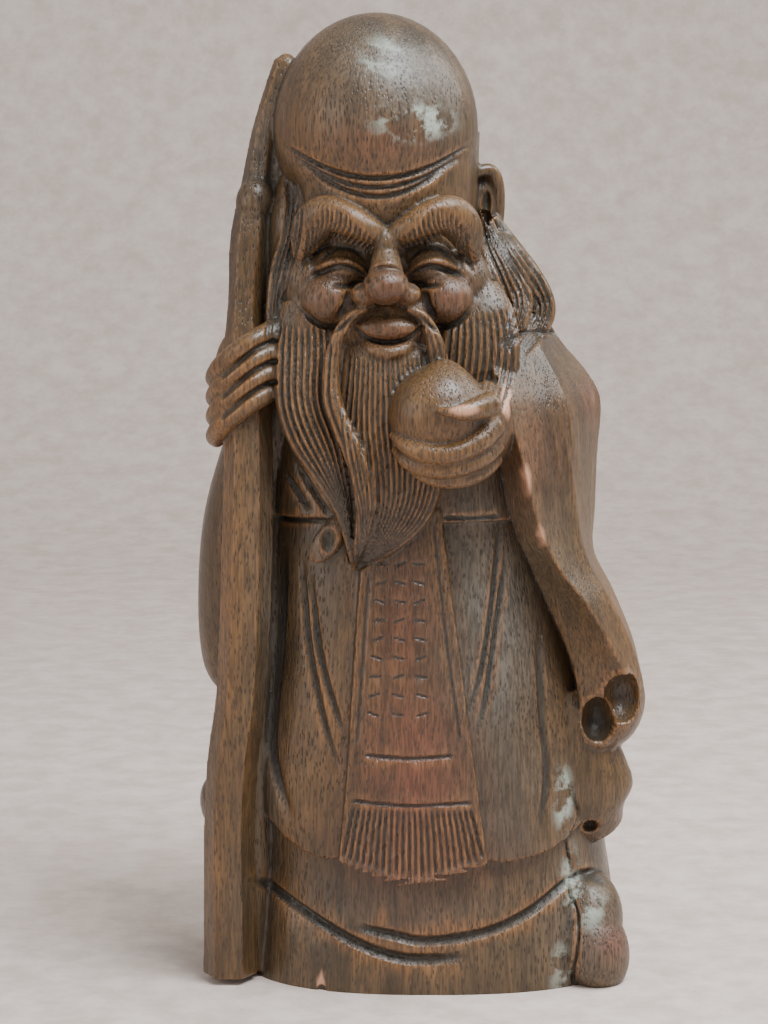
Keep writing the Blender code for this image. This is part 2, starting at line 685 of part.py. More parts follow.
def face_lines(relief):
    for side in (-1, 1):
        x = FACE_MIDDLE + side * EYE_OFFSET
        slit = [(x - side * 27, 731), (x - side * 16, 741), (x, 746), (x + side * 17, 742), (x + side * 31, 735)]
        lower = [(x - side * 22, 730), (x - side * 6, 726), (x + side * 12, 729)]
        crease = [(x - side * 27, 748), (x - side * 12, 762), (x + side * 8, 763), (x + side * 28, 748)]
        for path, width, depth in ((slit, 9, 9), (lower, 8, 5), (crease, 9, 5)):
            relief.stroke(path, width, depth, back=-60)
        smile = [(FACE_MIDDLE + side * 27, 722), (FACE_MIDDLE + side * 35, 706), (FACE_MIDDLE + side * 46, 692)]
        under_cheek = [(x - side * 14, 700), (x + side * 4, 686), (x + side * 24, 688), (x + side * 40, 702)]
        relief.stroke(smile, 10, 7, back=-80)
        relief.stroke(under_cheek, 9, 6, back=-60)
    relief.stroke([(-68, 689), (-52, 676), (-30, 671), (-9, 676), (7, 689)], 8, 9, 0.15, back=-90)
    relief.stroke([(-33, 708), (-30, 700), (-30, 692)], 8, 4, back=-90)


def brow_hairs(relief, count, width, depth):
    """Hairs hang from each brow's upper edge, down and outwards."""
    for side in (-1, 1):
        for i in range(count):
            share = i / (count - 1)
            root = FACE_MIDDLE + side * (12 + 66 * share)
            top = along([782, 796, 812, 812, 792], share) - 8
            foot = along([762, 766, 774, 762, 738], share)
            path = [(root, top), (root + side * 2, (top + foot) / 2), (root + side * 9, foot)]
            relief.stroke(path, width, depth, 0.15, back=-85)


def robe_folds(relief):
    chest = [[(-135, 532), (-122, 514), (-110, 496)], [(-124, 544), (-107, 518), (-89, 492)]]
    left = [[(-118, 449), (-111, 359), (-95, 281), (-79, 231)], [(-110, 434), (-98, 344), (-73, 262)]]
    right = [[(84, 479), (75, 396), (64, 331), (50, 293)], [(91, 454), (81, 386), (68, 301), (59, 273)]]
    for path in chest + left + right:
        relief.stroke(path, back=-60)
    relief.stroke([(-137, 455), (-142, 356), (-150, 247), (-130, 179)], 14, 9, back=-40)
    relief.stroke([(124, 371), (128, 291), (133, 223), (124, 163)], 11, 6, back=-50)
    relief.stroke([(-154, 484), (-122, 485), (-90, 488)], 8, 7, 0.05, back=-50)
    relief.stroke([(27, 492), (54, 490), (82, 491)], 8, 5, 0.05, back=-60)


def waves(relief):
    """Two long folds cross like waves along the skirt's foot."""
    lower = [(-169, 106), (-147, 95), (-119, 81), (-66, 54), (-25, 40), (10, 37), (51, 40)]
    upper = [(-66, 70), (-25, 62), (10, 56), (72, 65), (118, 84), (156, 109), (178, 112), (202, 100)]
    relief.stroke(lower, 14, 9, 0.15, back=-30)
    relief.stroke(upper, 13, 8, 0.1, back=-30)


def finger_grooves(relief):
    for i in range(3):
        drop = i * 20.5
        path = [(-141, 672 - drop), (-160, 664 - drop), (-180, 650 - drop), (-200, 633 - drop)]
        relief.stroke(path, 8, 6, 0.05, back=-60)


def hollows(relief):
    """The openings of the rolled sleeve, the folded hem, the bow and the ears."""
    relief.hollow((211, -116, 309), (19, 36, 21))
    relief.hollow((184, -106, 278), (14, 30, 19))
    relief.hollow((181, -96, 164), (12, 24, 11))
    relief.hollow((-90, -131, 469), (9, 9, 15))
    relief.hollow((72, -38, 806), (8, 20, 22))


def carve(obj):
    relief = Relief(obj.data)
    wrinkles(relief)
    face_lines(relief)
    brow_hairs(relief, 7, 8, 4)
    relief.comb(*LEFT_BEARD[:2], 5, 9, 6)
    relief.comb(*MAIN_BEARD[:2], 8, 9, 6)
    relief.comb(*RIGHT_BEARD[:2], 5, 9, 5)
    robe_folds(relief)
    waves(relief)
    finger_grooves(relief)
    hollows(relief)
    relief.apply(obj.data)


def saw_foot(obj):
    """Saws the figure off flat at z = 0."""
    shape = bmesh.new()
    shape.from_mesh(obj.data)
    everything = shape.verts[:] + shape.edges[:] + shape.faces[:]
    cut = bmesh.ops.bisect_plane(shape, geom=everything, dist=1e-7, plane_co=(0, 0, 0), plane_no=(0, 0, -1),
                                 clear_outer=True)
    rim = [e for e in cut["geom_cut"] if isinstance(e, bmesh.types.BMEdge)]
    bmesh.ops.holes_fill(shape, edges=rim, sides=0)
    bmesh.ops.triangulate(shape, faces=shape.faces[:])
    shape.to_mesh(obj.data)
    shape.free()


def thin_out(obj, triangles):
    """Leaves about this many triangles, most of them where the carving is."""
    obj.data.calc_loop_triangles()
    thin = obj.modifiers.new("thin_out", "DECIMATE")
    thin.ratio = triangles / len(obj.data.loop_triangles)
    thin.use_collapse_triangulate = True
    graph = bpy.context.evaluated_depsgraph_get()
    mesh = bpy.data.meshes.new_from_object(obj.evaluated_get(graph))
    obj.modifiers.clear()
    obj.data = mesh


def centre_on_foot(obj):
    """Puts the origin under the middle of the figure."""
    points = np.array([v.co for v in obj.data.vertices])
    low, high = points.min(axis=0), points.max(axis=0)
    obj.data.transform(Matrix.Translation((-(low[0] + high[0]) / 2, -(low[1] + high[1]) / 2, -low[2])))


def wood():
    material = bpy.data.materials.new("carved_wood")
    material.use_nodes = True
    shader = material.node_tree.nodes["Principled BSDF"]
    shader.inputs["Base Color"].default_value = WOOD_COLOUR
    shader.inputs["Roughness"].default_value = WOOD_ROUGHNESS
    shader.inputs["Metallic"].default_value = 0.0
    return material


def main():
    for obj in list(bpy.data.objects):
        bpy.data.objects.remove(obj)
    figure = fuse("shoulao_figure", blocks(), BLOCK_VOXEL)
    keep_main_body(figure)
    carve(figure)
    thin_out(figure, FINISHED_TRIANGLES)
    saw_foot(figure)
    keep_main_body(figure)
    centre_on_foot(figure)
    figure.data.materials.append(wood())
    figure.data.shade_smooth()
    figure.data.set_sharp_from_angle(angle=math.radians(50))
    holder = bpy.data.collections.new("shoulao")
    bpy.context.scene.collection.children.link(holder)
    bpy.context.scene.collection.objects.unlink(figure)
    holder.objects.link(figure)


main()
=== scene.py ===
"""A carved wooden figure of Shoulao, the old man of long life, as the photograph shows it.

The figure is one piece of wood, so it is one object here too: the rough forms are fused and
then cut with every fold, wrinkle and strand of hair. Places and sizes are shares of the
figure's height, in thousandths: x to the viewer's right, y away, z up from the foot.
"""

import math

import bmesh
import bpy
import numpy as np
from mathutils import Matrix, Vector


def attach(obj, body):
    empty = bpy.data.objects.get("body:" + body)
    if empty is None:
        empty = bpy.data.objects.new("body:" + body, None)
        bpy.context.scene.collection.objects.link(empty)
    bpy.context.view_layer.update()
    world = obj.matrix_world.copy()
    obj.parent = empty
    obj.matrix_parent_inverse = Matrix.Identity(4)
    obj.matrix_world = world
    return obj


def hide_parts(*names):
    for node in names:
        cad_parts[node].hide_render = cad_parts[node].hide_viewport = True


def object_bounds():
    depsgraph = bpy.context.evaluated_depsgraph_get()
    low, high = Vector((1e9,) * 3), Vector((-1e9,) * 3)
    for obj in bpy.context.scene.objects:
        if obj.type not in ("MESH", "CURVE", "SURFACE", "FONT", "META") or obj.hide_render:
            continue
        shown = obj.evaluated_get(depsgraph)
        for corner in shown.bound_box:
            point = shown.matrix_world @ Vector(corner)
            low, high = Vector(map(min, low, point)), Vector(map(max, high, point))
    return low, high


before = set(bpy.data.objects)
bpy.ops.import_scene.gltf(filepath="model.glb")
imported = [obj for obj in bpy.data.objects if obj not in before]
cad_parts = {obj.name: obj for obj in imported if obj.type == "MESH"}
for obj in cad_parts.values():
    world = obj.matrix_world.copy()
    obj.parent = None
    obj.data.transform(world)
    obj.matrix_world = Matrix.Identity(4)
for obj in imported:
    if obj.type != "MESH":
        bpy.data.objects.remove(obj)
cad_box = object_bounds()

FIGURE_HEIGHT = 0.260
MIL = FIGURE_HEIGHT / 1000

# The carving's rough forms.
# One piece of dark wood: robe, sleeves, head, beard, hands, peach and staff.
# Each form is a loft, a swept lock, a rod or a ball; all are fused by one voxel remesh.

BLOCK_VOXEL = 1.9
SOFTEN_STEPS = 2
FINISHED_TRIANGLES = 190000
STAFF_RADIUS = 25
HAND_FINGER_RADIUS = 11
PEACH_RADIUS = 50
SASH_THICKNESS = 8
CHEST_STEP = 6
UNDER_ROBE_INSET = 11
GROOVE_DEPTH = 6
GROOVE_WIDTH = 9
WRINKLE_WIDTH = 8
FOOT_DEPTH = 14


# Curves and outlines.
# A few chosen points are drawn through smoothly, so each outline stays short.

KNOT_STEPS = 24


def smooth_path(points, count):
    """Points spread evenly along a smooth curve through the given ones."""
    knots = np.array(points, float)
    ends = np.vstack([2 * knots[0] - knots[1], knots, 2 * knots[-1] - knots[-2]])
    steps = np.linspace(0, 1, KNOT_STEPS, endpoint=False)[:, None]
    pieces = []
    for a, b, c, d in zip(ends, ends[1:], ends[2:], ends[3:]):
        bend = 2 * a - 5 * b + 4 * c - d
        pieces.append(b + 0.5 * steps * ((c - a) + steps * (bend + steps * (3 * b - a - 3 * c + d))))
    fine = np.vstack([*pieces, knots[-1:]])
    run = np.concatenate([[0], np.cumsum(np.linalg.norm(np.diff(fine, axis=0), axis=1))])
    even = np.linspace(0, run[-1], count)
    return np.column_stack([np.interp(even, run, fine[:, i]) for i in range(fine.shape[1])])


def along(values, where):
    """A size given at a few even steps of a length, read smoothly anywhere along it."""
    spread = smooth_path([(i / (len(values) - 1), v) for i, v in enumerate(values)], 64)
    return np.interp(where, spread[:, 0], spread[:, 1])


def profile(table):
    """A function of height that runs smoothly through (height, size) pairs."""
    curve = smooth_path(table, 160)
    order = np.argsort(curve[:, 0])
    return lambda z: np.interp(z, curve[order, 0], curve[order, 1])


# Rough forms.
# Each is one closed mesh, in metres, and all of them are fused.

def mesh_object(name, points, faces):
    mesh = bpy.data.meshes.new(name)
    mesh.from_pydata([tuple(p) for p in np.asarray(points) * MIL], [], faces)
    obj = bpy.data.objects.new(name, mesh)
    bpy.context.scene.collection.objects.link(obj)
    return obj


def loft(name, shape, around=72, rings=60):
    """A closed skin over rings: shape(turn, rise) gives x, y and z for turn and rise from 0 to 1."""
    turn, rise = np.meshgrid(np.arange(around) / around, np.linspace(0, 1, rings))
    points = np.stack(shape(turn, rise), axis=-1).reshape(-1, 3)
    faces = []
    for ring in range(rings - 1):
        for i in range(around):
            j = (i + 1) % around
            low, high = ring * around, (ring + 1) * around
            faces.append((low + i, low + j, high + j, high + i))
    faces.append(tuple(reversed(range(around))))
    faces.append(tuple(range((rings - 1) * around, rings * around)))
    return mesh_object(name, points, faces)


def ball(name, centre, radii, tilt=(0, 0, 0)):
    """An ellipsoid, turned by tilt in degrees about x, y and z."""
    mesh = bpy.data.meshes.new(name)
    shape = bmesh.new()
    bmesh.ops.create_uvsphere(shape, u_segments=40, v_segments=24, radius=1)
    turn = Matrix.Identity(4)
    for axis, degrees in zip("XYZ", tilt):
        turn = Matrix.Rotation(math.radians(degrees), 4, axis) @ turn
    size = Matrix.Diagonal((*[r * MIL for r in radii], 1))
    shape.transform(Matrix.Translation(Vector(centre) * MIL) @ turn @ size)
    shape.to_mesh(mesh)
    shape.free()
    obj = bpy.data.objects.new(name, mesh)
    bpy.context.scene.collection.objects.link(obj)
    return obj


def rod(name, path, radii, roundness=5):
    """A rod along a path, thick as radii say at even steps; a low roundness leaves facets."""
    points = smooth_path(path, 12 * len(path))
    curve = bpy.data.curves.new(name, "CURVE")
    curve.dimensions = "3D"
    curve.bevel_depth = MIL
    curve.bevel_resolution = roundness
    curve.use_fill_caps = True
    spline = curve.splines.new("POLY")
    spline.points.add(len(points) - 1)
    sizes = along(radii, np.linspace(0, 1, len(points)))
    for knot, place, radius in zip(spline.points, points, sizes):
        knot.co = (*(place * MIL), 1)
        knot.radius = max(radius, 0.5)
    obj = bpy.data.objects.new(name, curve)
    bpy.context.scene.collection.objects.link(obj)
    return solid_from_curve(obj)


def solid_from_curve(obj):
    """The mesh that a curve draws, with its caps welded on, in place of the curve."""
    graph = bpy.context.evaluated_depsgraph_get()
    mesh = bpy.data.meshes.new_from_object(obj.evaluated_get(graph))
    shape = bmesh.new()
    shape.from_mesh(mesh)
    bmesh.ops.remove_doubles(shape, verts=shape.verts, dist=1e-6)
    shape.to_mesh(mesh)
    shape.free()
    name = obj.name
    bpy.data.objects.remove(obj)
    solid = bpy.data.objects.new(name, mesh)
    bpy.context.scene.collection.objects.link(solid)
    return solid


def lock(name, path, widths, thickness):
    """A lock of hair or a fold of cloth: a flattened sweep, lens-shaped across."""
    rings = 14 * len(path)
    spine = smooth_path(path, rings)
    ahead = np.gradient(spine, axis=0)
    ahead /= np.linalg.norm(ahead, axis=1)[:, None]
    across = np.cross(ahead, (0, -1, 0))
    across /= np.linalg.norm(across, axis=1)[:, None]
    out = np.cross(across, ahead)
    at = np.linspace(0, 1, rings)
    half = np.maximum(along([w / 2 for w in widths], at), 1)
    deep = np.maximum(along(thickness, at), 1)

    def shape(turn, rise):
        row = np.rint(rise * (rings - 1)).astype(int)
        side, face = np.cos(2 * math.pi * turn), np.sin(2 * math.pi * turn)
        points = (spine[row] + across[row] * (half[row] * side)[..., None]
                  + out[row] * (deep[row] * face)[..., None])
        return points[..., 0], points[..., 1], points[..., 2]

    return loft(name, shape, around=32, rings=rings)


# The clothed body.
# A robe over a skirt, tied by a belt, with a long sash down its front and wide sleeves.

LEFT_OF_ROBE = profile([(-20, -182), (130, -180), (200, -180), (260, -174), (350, -166), (430, -160),
                        (490, -156), (560, -155), (620, -148), (680, -122), (720, -95), (750, -75)])
RIGHT_OF_ROBE = profile([(-20, 212), (60, 212), (130, 208), (200, 198), (260, 188), (350, 168), (430, 152),
                         (490, 142), (560, 134), (620, 126), (680, 105), (720, 55), (750, 20)])
FRONT_OF_ROBE = profile([(-20, 150), (130, 152), (200, 151), (260, 147), (350, 138), (430, 130),
                         (490, 122), (560, 118), (620, 112), (680, 96), (720, 72), (750, 55)])
BACK_OF_ROBE = profile([(-20, 136), (130, 134), (200, 132), (260, 128), (350, 122), (430, 118),
                        (490, 116), (560, 114), (620, 108), (680, 86), (720, 64), (750, 50)])
ROBE_SQUARENESS = 2.5


def rounded(turn, squareness):
    """Across and deep, each from -1 to 1, round an outline between an ellipse and a square."""
    side, deep = np.cos(2 * math.pi * turn), np.sin(2 * math.pi * turn)
    power = 2 / squareness
    return np.sign(side) * np.abs(side) ** power, np.sign(deep) * np.abs(deep) ** power


def robe_outline(turn, z, grow=0.0):
    """The robe's outline at a height, with grow added all round."""
    side, deep = rounded(turn, ROBE_SQUARENESS)
    left, right = LEFT_OF_ROBE(z) - grow, RIGHT_OF_ROBE(z) + grow
    x = (left + right) / 2 + side * (right - left) / 2
    y = np.where(deep < 0, FRONT_OF_ROBE(z) + grow, BACK_OF_ROBE(z) + grow) * deep
    return x, y


def robe_front(x, z):
    """How far forward the robe's front stands at a place, as its y."""
    left, right = LEFT_OF_ROBE(z), RIGHT_OF_ROBE(z)
    side = np.clip(np.abs(2 * (x - left) / (right - left) - 1), 0, 0.98)
    return -FRONT_OF_ROBE(z) * (1 - side**ROBE_SQUARENESS) ** (1 / ROBE_SQUARENESS)


ROBE_HEM = [(-186, 212), (-170, 198), (-160, 184), (-143, 162), (-115, 143), (-90, 139), (-70, 148),
            (0, 152), (60, 148), (82, 139), (100, 138), (131, 146), (167, 166), (190, 190), (206, 206)]
BACK_HEM = 176


def robe():
    hem = profile(ROBE_HEM)

    def shape(turn, rise):
        x, y = robe_outline(turn, 170.0 + 0 * turn)
        foot = np.where(y < 0, hem(x), BACK_HEM + (hem(x) - BACK_HEM) * np.exp(-np.maximum(y, 0) / 30))
        z = foot * (1 - rise) + 750 * rise
        return (*robe_outline(turn, z), z)

    return loft("robe", shape, around=120, rings=110)


def under_robe():
    """The skirt below the hem, a step behind it, which spreads again at the foot."""
    def shape(turn, rise):
        z = -FOOT_DEPTH + (330 + FOOT_DEPTH) * rise
        spread = 11 * np.clip(1 - z / 130, 0, 1)
        x, y = robe_outline(turn, z, spread - UNDER_ROBE_INSET)
        return np.where(x > 100, x + 4 * (x - 100) / 100, x), y, z

    return loft("under_robe", shape, around=96, rings=50)


def chest_cloth():
    """The crossed robe above the belt, which laps over the skirt in a small step."""
    def shape(turn, rise):
        z = 487 + 240 * rise
        return (*robe_outline(turn, z, CHEST_STEP * (1 - rise)), z)

    return loft("chest_cloth", shape, around=96, rings=40)


SASH_LEFT = profile([(110, -83), (143, -80), (228, -72), (326, -66), (440, -58), (500, -54)])
SASH_RIGHT = profile([(110, 75), (144, 71), (249, 56), (340, 44), (490, 24), (500, 22)])
SASH_TIP = 114
SASH_CORNER = 142


def sash():
    """The panel that hangs down the middle, pointed at its foot, where it stands proud."""
    def shape(turn, rise):
        side, deep = rounded(turn, 9)
        point = SASH_CORNER - (SASH_CORNER - SASH_TIP) * (1 - np.abs(side)) ** 0.8
        z = point * (1 - rise) + 500 * rise
        left, right = SASH_LEFT(z), SASH_RIGHT(z)
        x = (left + right) / 2 + side * (right - left) / 2
        proud = SASH_THICKNESS + 10 * np.exp(-(z - SASH_TIP) / 45)
        front = robe_front(x, np.maximum(z, 135))
        return x, front - np.where(deep < 0, proud, -30), z

    return loft("sash", shape, around=96, rings=80)


STAFF_FOOT = 7


def staff_web():
    """Wood left standing between the staff and the figure."""
    path = [(-130, -24, 930), (-140, -32, 850), (-148, -40, 760), (-150, -44, 680), (-162, -48, 500),
            (-166, -52, 300), (-172, -56, 120), (-176, -56, STAFF_FOOT)]
    return lock("staff_web", path, [22, 34, 44, 44, 46, 46, 50, 52], [16, 22, 26, 30, 34, 36, 36, 36])


def hunched_back():
    return ball("hunched_back", (-12, 38, 622), (164, 98, 158))


RIGHT_SLEEVE = {
    700: [(60, -70), (80, -90), (110, -62), (128, 0), (100, 60)],
    661: [(62, -98), (76, -124), (126, -82), (151, 0), (120, 75)],
    629: [(68, -122), (80, -150), (142, -95), (178, 0), (135, 85)],
    598: [(72, -124), (92, -157), (154, -102), (193, 0), (140, 88)],
    544: [(84, -120), (107, -158), (159, -108), (190, 0), (140, 90)],
    483: [(97, -116), (123, -154), (164, -108), (188, 0), (140, 88)],
    441: [(115, -112), (144, -149), (176, -106), (187, -4), (140, 82)],
    400: [(133, -108), (175, -143), (200, -102), (207, -10), (150, 62)],
    345: [(156, -104), (205, -129), (225, -88), (229, -20), (165, 42)],
    300: [(166, -100), (222, -114), (236, -76), (236, -28), (180, 18)],
    268: [(166, -88), (214, -104), (230, -70), (228, -38), (190, 0)],
    244: [(180, -80), (202, -90), (214, -66), (212, -42), (196, -22)],
}


def right_sleeve():
    """The wide sleeve that hangs from the hand with the peach, with a sharp edge down its mouth."""
    heights = sorted(RIGHT_SLEEVE)
    corners = np.array([RIGHT_SLEEVE[z] for z in heights], float)
    places = [[profile([(z, c[i][k]) for z, c in zip(heights, corners)]) for k in (0, 1)]
              for i in range(corners.shape[1])]
    sides = len(places)

    def shape(turn, rise):
        z = heights[0] + (heights[-1] - heights[0]) * rise
        spots = np.array([[p(z) for p in pair] for pair in places])
        step = turn * sides
        here = np.floor(step).astype(int) % sides
        part = step - np.floor(step)
        grid = np.indices(z.shape)
        x, y = [spots[here, k, grid[0], grid[1]] * (1 - part)
                + spots[(here + 1) % sides, k, grid[0], grid[1]] * part for k in (0, 1)]
        return x, y, z

    return loft("right_sleeve", shape, around=16 * sides, rings=90)


def right_sleeve_end():
    """The foot of the sleeve, which curls up like a scroll."""
    return [
        ball("sleeve_curl", (206, -64, 284), (30, 46, 44), (0, 18, 0)),
        ball("sleeve_curl_lip", (186, -88, 266), (22, 20, 24), (0, 30, 0)),
    ]


def left_sleeve():
    """The sleeve of the arm that holds the staff, which shows behind the staff."""
    left = profile([(278, -190), (291, -208), (321, -225), (386, -230), (473, -224), (543, -206), (600, -185),
                    (650, -160), (700, -130)])
    right = profile([(278, -170), (350, -140), (500, -130), (600, -90), (700, -50)])
    deep = profile([(278, 10), (300, 34), (386, 62), (500, 74), (600, 76), (700, 50)])

    def shape(turn, rise):
        side, away = rounded(turn, 2.2)
        z = 280 + 420 * rise
        x = (left(z) + right(z)) / 2 + side * (right(z) - left(z)) / 2
        return x, -4 + away * deep(z), z

    return loft("left_sleeve", shape, around=48, rings=60)


def robe_corners():
    """The hem's folded corners, which stand out at both sides."""
    return [
        lock("right_corner",
             [(150, -54, 300), (164, -58, 250), (170, -60, 205), (178, -58, 176), (192, -52, 152)],
             [60, 70, 102, 108, 56], [38, 42, 45, 44, 28]),
        ball("left_corner", (-210, 4, 166), (20, 44, 30), (0, -10, 0)),
        lock("left_corner_fold", [(-180, 0, 280), (-196, 0, 210), (-206, 4, 160)],
             [30, 40, 34], [40, 40, 40]),
    ]


# The head.
# A tall bald dome over a smiling face, with bushy brows, a moustache and a parted beard.

HEAD_MIDDLE = -42
DOME_CENTRE = (HEAD_MIDDLE, -44, 882)
DOME_RADII = (104, 112, 117)


def skull():
    front = profile([(628, 112), (670, 122), (700, 122), (730, 115), (750, 113), (775, 124), (800, 136),
                     (830, 146), (880, 154)])
    half = profile([(628, 70), (660, 84), (700, 96), (760, 99), (810, 101), (850, 102), (880, 103)])

    def shape(turn, rise):
        side, deep = rounded(turn, 2.25)
        z = 628 + 250 * rise
        x = HEAD_MIDDLE + 4 + side * half(z)
        return x, np.where(deep < 0, front(z), 62) * deep, z

    return loft("skull", shape, around=96, rings=60)


def dome():
    return ball("dome", DOME_CENTRE, DOME_RADII, (10, 0, 0))


FACE_MIDDLE = -31


def brows():
    """The bushy brows stand out over the eyes like shelves and hang down at their outer ends."""
    made = []
    for side, name in ((-1, "left"), (1, "right")):
        steps = ((5, -136, 775), (20, -141, 784), (40, -139, 794), (60, -131, 798), (76, -120, 784),
                 (88, -108, 752))
        path = [(FACE_MIDDLE + side * x, y, z) for x, y, z in steps]
        made.append(lock(f"{name}_brow", path, [22, 28, 34, 42, 34, 14], [10, 14, 15, 15, 13, 8]))
    made.append(ball("frown", (FACE_MIDDLE, -138, 770), (11, 13, 13)))
    return made


EYE_OFFSET = 44


def eyes():
    """Big eyeballs under closed, smiling lids."""
    made = []
    for side, name in ((-1, "left"), (1, "right")):
        x = FACE_MIDDLE + side * EYE_OFFSET
        made.append(ball(f"{name}_eyeball", (x, -104, 746), (33, 23, 22), (0, side * 10, 0)))
        lid = [(x + side * -25, -119, 735), (x + side * -13, -126, 745), (x + side * 2, -127, 750),
               (x + side * 18, -120, 746), (x + side * 32, -106, 739)]
        made.append(rod(f"{name}_lid", lid, [3, 5, 6, 5, 3]))
    return made


def nose():
    return [
        rod("bridge", [(-32, -118, 778), (-32, -136, 760), (-32, -151, 740)], [10, 13, 18]),
        ball("nose_tip", (-32, -154, 728), (23, 23, 19)),
        ball("left_nostril", (-53, -143, 719), (14, 17, 12)),
        ball("right_nostril", (-11, -143, 719), (14, 17, 12)),
    ]


def cheeks():
    return [
        ball("left_cheek", (-90, -112, 712), (29, 27, 27)),
        ball("right_cheek", (28, -112, 713), (29, 27, 27)),
        ball("left_cheek_side", (-112, -92, 728), (26, 30, 34)),
        ball("right_cheek_side", (48, -92, 728), (26, 30, 34)),
    ]


def mouth():
    return [
        ball("lips_ground", (-30, -118, 684), (50, 26, 34)),
        ball("upper_lip", (-30, -132, 685), (36, 21, 14)),
        rod("lower_lip",
            [(-60, -126, 675), (-46, -142, 664), (-30, -147, 660), (-14, -142, 664), (0, -126, 675)],
            [4, 7, 8, 7, 4]),
        ball("chin", (-30, -118, 648), (44, 26, 26)),
    ]


def ears():
    made = []
    for x, side, name in ((74, 1, "right"), (-137, -1, "left")):
        steps = ((-12, -28, 838), (1, -22, 838), (8, -16, 824), (9, -14, 798), (5, -16, 772), (-4, -24, 758))
        rim = [(x + side * out, y, z) for out, y, z in steps]
        made.append(rod(f"{name}_ear_rim", rim, [6, 8, 8, 8, 8, 8]))
        made.append(ball(f"{name}_ear", (x - side * 5, -10, 800), (14, 16, 38)))
    return made


RIGHT_HAIR = {
    "inner": ([(68, -44, 798), (76, -50, 768), (92, -60, 738), (103, -70, 708), (96, -84, 680),
               (84, -90, 658)],
              [12, 22, 28, 30, 26, 10], [10, 12, 14, 14, 12, 6]),
    "outer": ([(78, -24, 790), (96, -28, 758), (116, -34, 728), (128, -38, 700), (122, -48, 678),
               (104, -68, 656)],
              [12, 24, 28, 30, 26, 8], [10, 13, 14, 14, 12, 6]),
}
LEFT_HAIR = ([(-130, -56, 836), (-124, -68, 806), (-128, -76, 772), (-138, -84, 738), (-144, -90, 700),
              (-146, -92, 668)], [14, 22, 26, 24, 20, 14], [10, 14, 14, 14, 12, 8])


def hair():
    made = [lock(f"right_hair_{name}", *shape) for name, shape in RIGHT_HAIR.items()]
    made.append(lock("left_hair", *LEFT_HAIR))
    made.append(ball("right_hair_ground", (80, -40, 712), (42, 46, 66)))
    made.append(ball("left_hair_ground", (-128, -52, 752), (26, 34, 90)))
    return made


LEFT_BEARD = ([(-112, -104, 708), (-113, -116, 655), (-112, -128, 606), (-91, -136, 553), (-73, -138, 503),
               (-67, -134, 462), (-65, -126, 441)], [50, 62, 60, 58, 36, 18, 4], [16, 18, 20, 20, 18, 12, 4])
MAIN_BEARD = ([(-30, -128, 664), (-30, -136, 640), (-28, -138, 590), (-24, -140, 545), (-26, -140, 508),
               (-42, -136, 470), (-65, -124, 440)],
              [86, 96, 108, 104, 84, 44, 4], [16, 20, 22, 24, 22, 16, 5])
RIGHT_BEARD = ([(54, -98, 722), (62, -112, 690), (62, -118, 650), (52, -120, 600)], [56, 76, 80, 64],
               [14, 18, 18, 16])
LEFT_MOUSTACHE = ([(-52, -146, 706), (-68, -148, 696), (-80, -148, 676), (-86, -151, 650), (-86, -156, 622),
                   (-79, -160, 596), (-66, -163, 566), (-56, -163, 536), (-53, -160, 500), (-57, -152, 468),
                   (-65, -134, 440)], [8, 12, 15, 18, 19, 20, 21, 20, 18, 14, 3],
                  [6, 7, 8, 9, 10, 10, 10, 10, 9, 8, 4])
RIGHT_MOUSTACHE = ([(-10, -146, 706), (6, -146, 696), (16, -146, 674), (20, -144, 650), (18, -140, 620)],
                   [8, 12, 18, 22, 20], [6, 7, 8, 8, 7])


def beard():
    return [
        lock("beard_ground",
             [(-30, -92, 706), (-34, -104, 650), (-44, -112, 590), (-52, -116, 540), (-60, -118, 490),
              (-64, -116, 452)], [150, 176, 156, 112, 60, 10], [18, 24, 24, 22, 18, 8]),
        lock("left_beard", *LEFT_BEARD),
        lock("main_beard", *MAIN_BEARD),
        lock("right_beard", *RIGHT_BEARD),
        lock("left_moustache", *LEFT_MOUSTACHE),
        lock("right_moustache", *RIGHT_MOUSTACHE),
    ]


# The hands, the peach and the staff.
# One hand cups a peach; the other closes round a staff as tall as the figure.

def peach():
    centre = Vector((21, -166, 602))
    tip = Vector((0.14, 0.1, 1)).normalized()
    fruit = ball("peach", centre, (PEACH_RADIUS, PEACH_RADIUS * 0.92, PEACH_RADIUS * 0.96))
    for vertex in fruit.data.vertices:
        reach = vertex.co - centre * MIL
        vertex.co += tip * MIL * 7 * math.exp(-((reach.angle(tip) / 0.4) ** 2))
    return fruit


def peach_hand():
    """The hand comes out of the right sleeve and cups the peach from below, its thumb in front."""
    return [
        ball("palm", (68, -154, 590), (22, 40, 44), (0, 0, -10)),
        ball("cupped_hand", (28, -158, 572), (50, 40, 40)),
        rod("upper_finger",
            [(-26, -178, 583), (-12, -194, 573), (6, -203, 567), (26, -205, 566), (44, -201, 570),
             (62, -190, 580), (74, -174, 592)], [4, 8, 10, 10, 11, 13, 14]),
        rod("middle_finger",
            [(-24, -172, 568), (-12, -188, 557), (6, -197, 551), (26, -199, 550), (46, -195, 553),
             (64, -183, 560), (78, -165, 571)], [4, 7, 8.5, 9, 9, 10, 10]),
        rod("lower_finger",
            [(-12, -168, 554), (4, -182, 543), (24, -188, 538), (46, -186, 539), (66, -173, 546),
             (78, -158, 557)], [4, 7, 8, 8, 8, 8]),
        rod("thumb", [(17, -213, 611), (30, -217, 609), (44, -215, 609), (58, -207, 612), (72, -194, 615)],
            [1.5, 6, 10, 12, 13]),
        ball("wrist", (76, -140, 590), (20, 36, 40)),
    ]


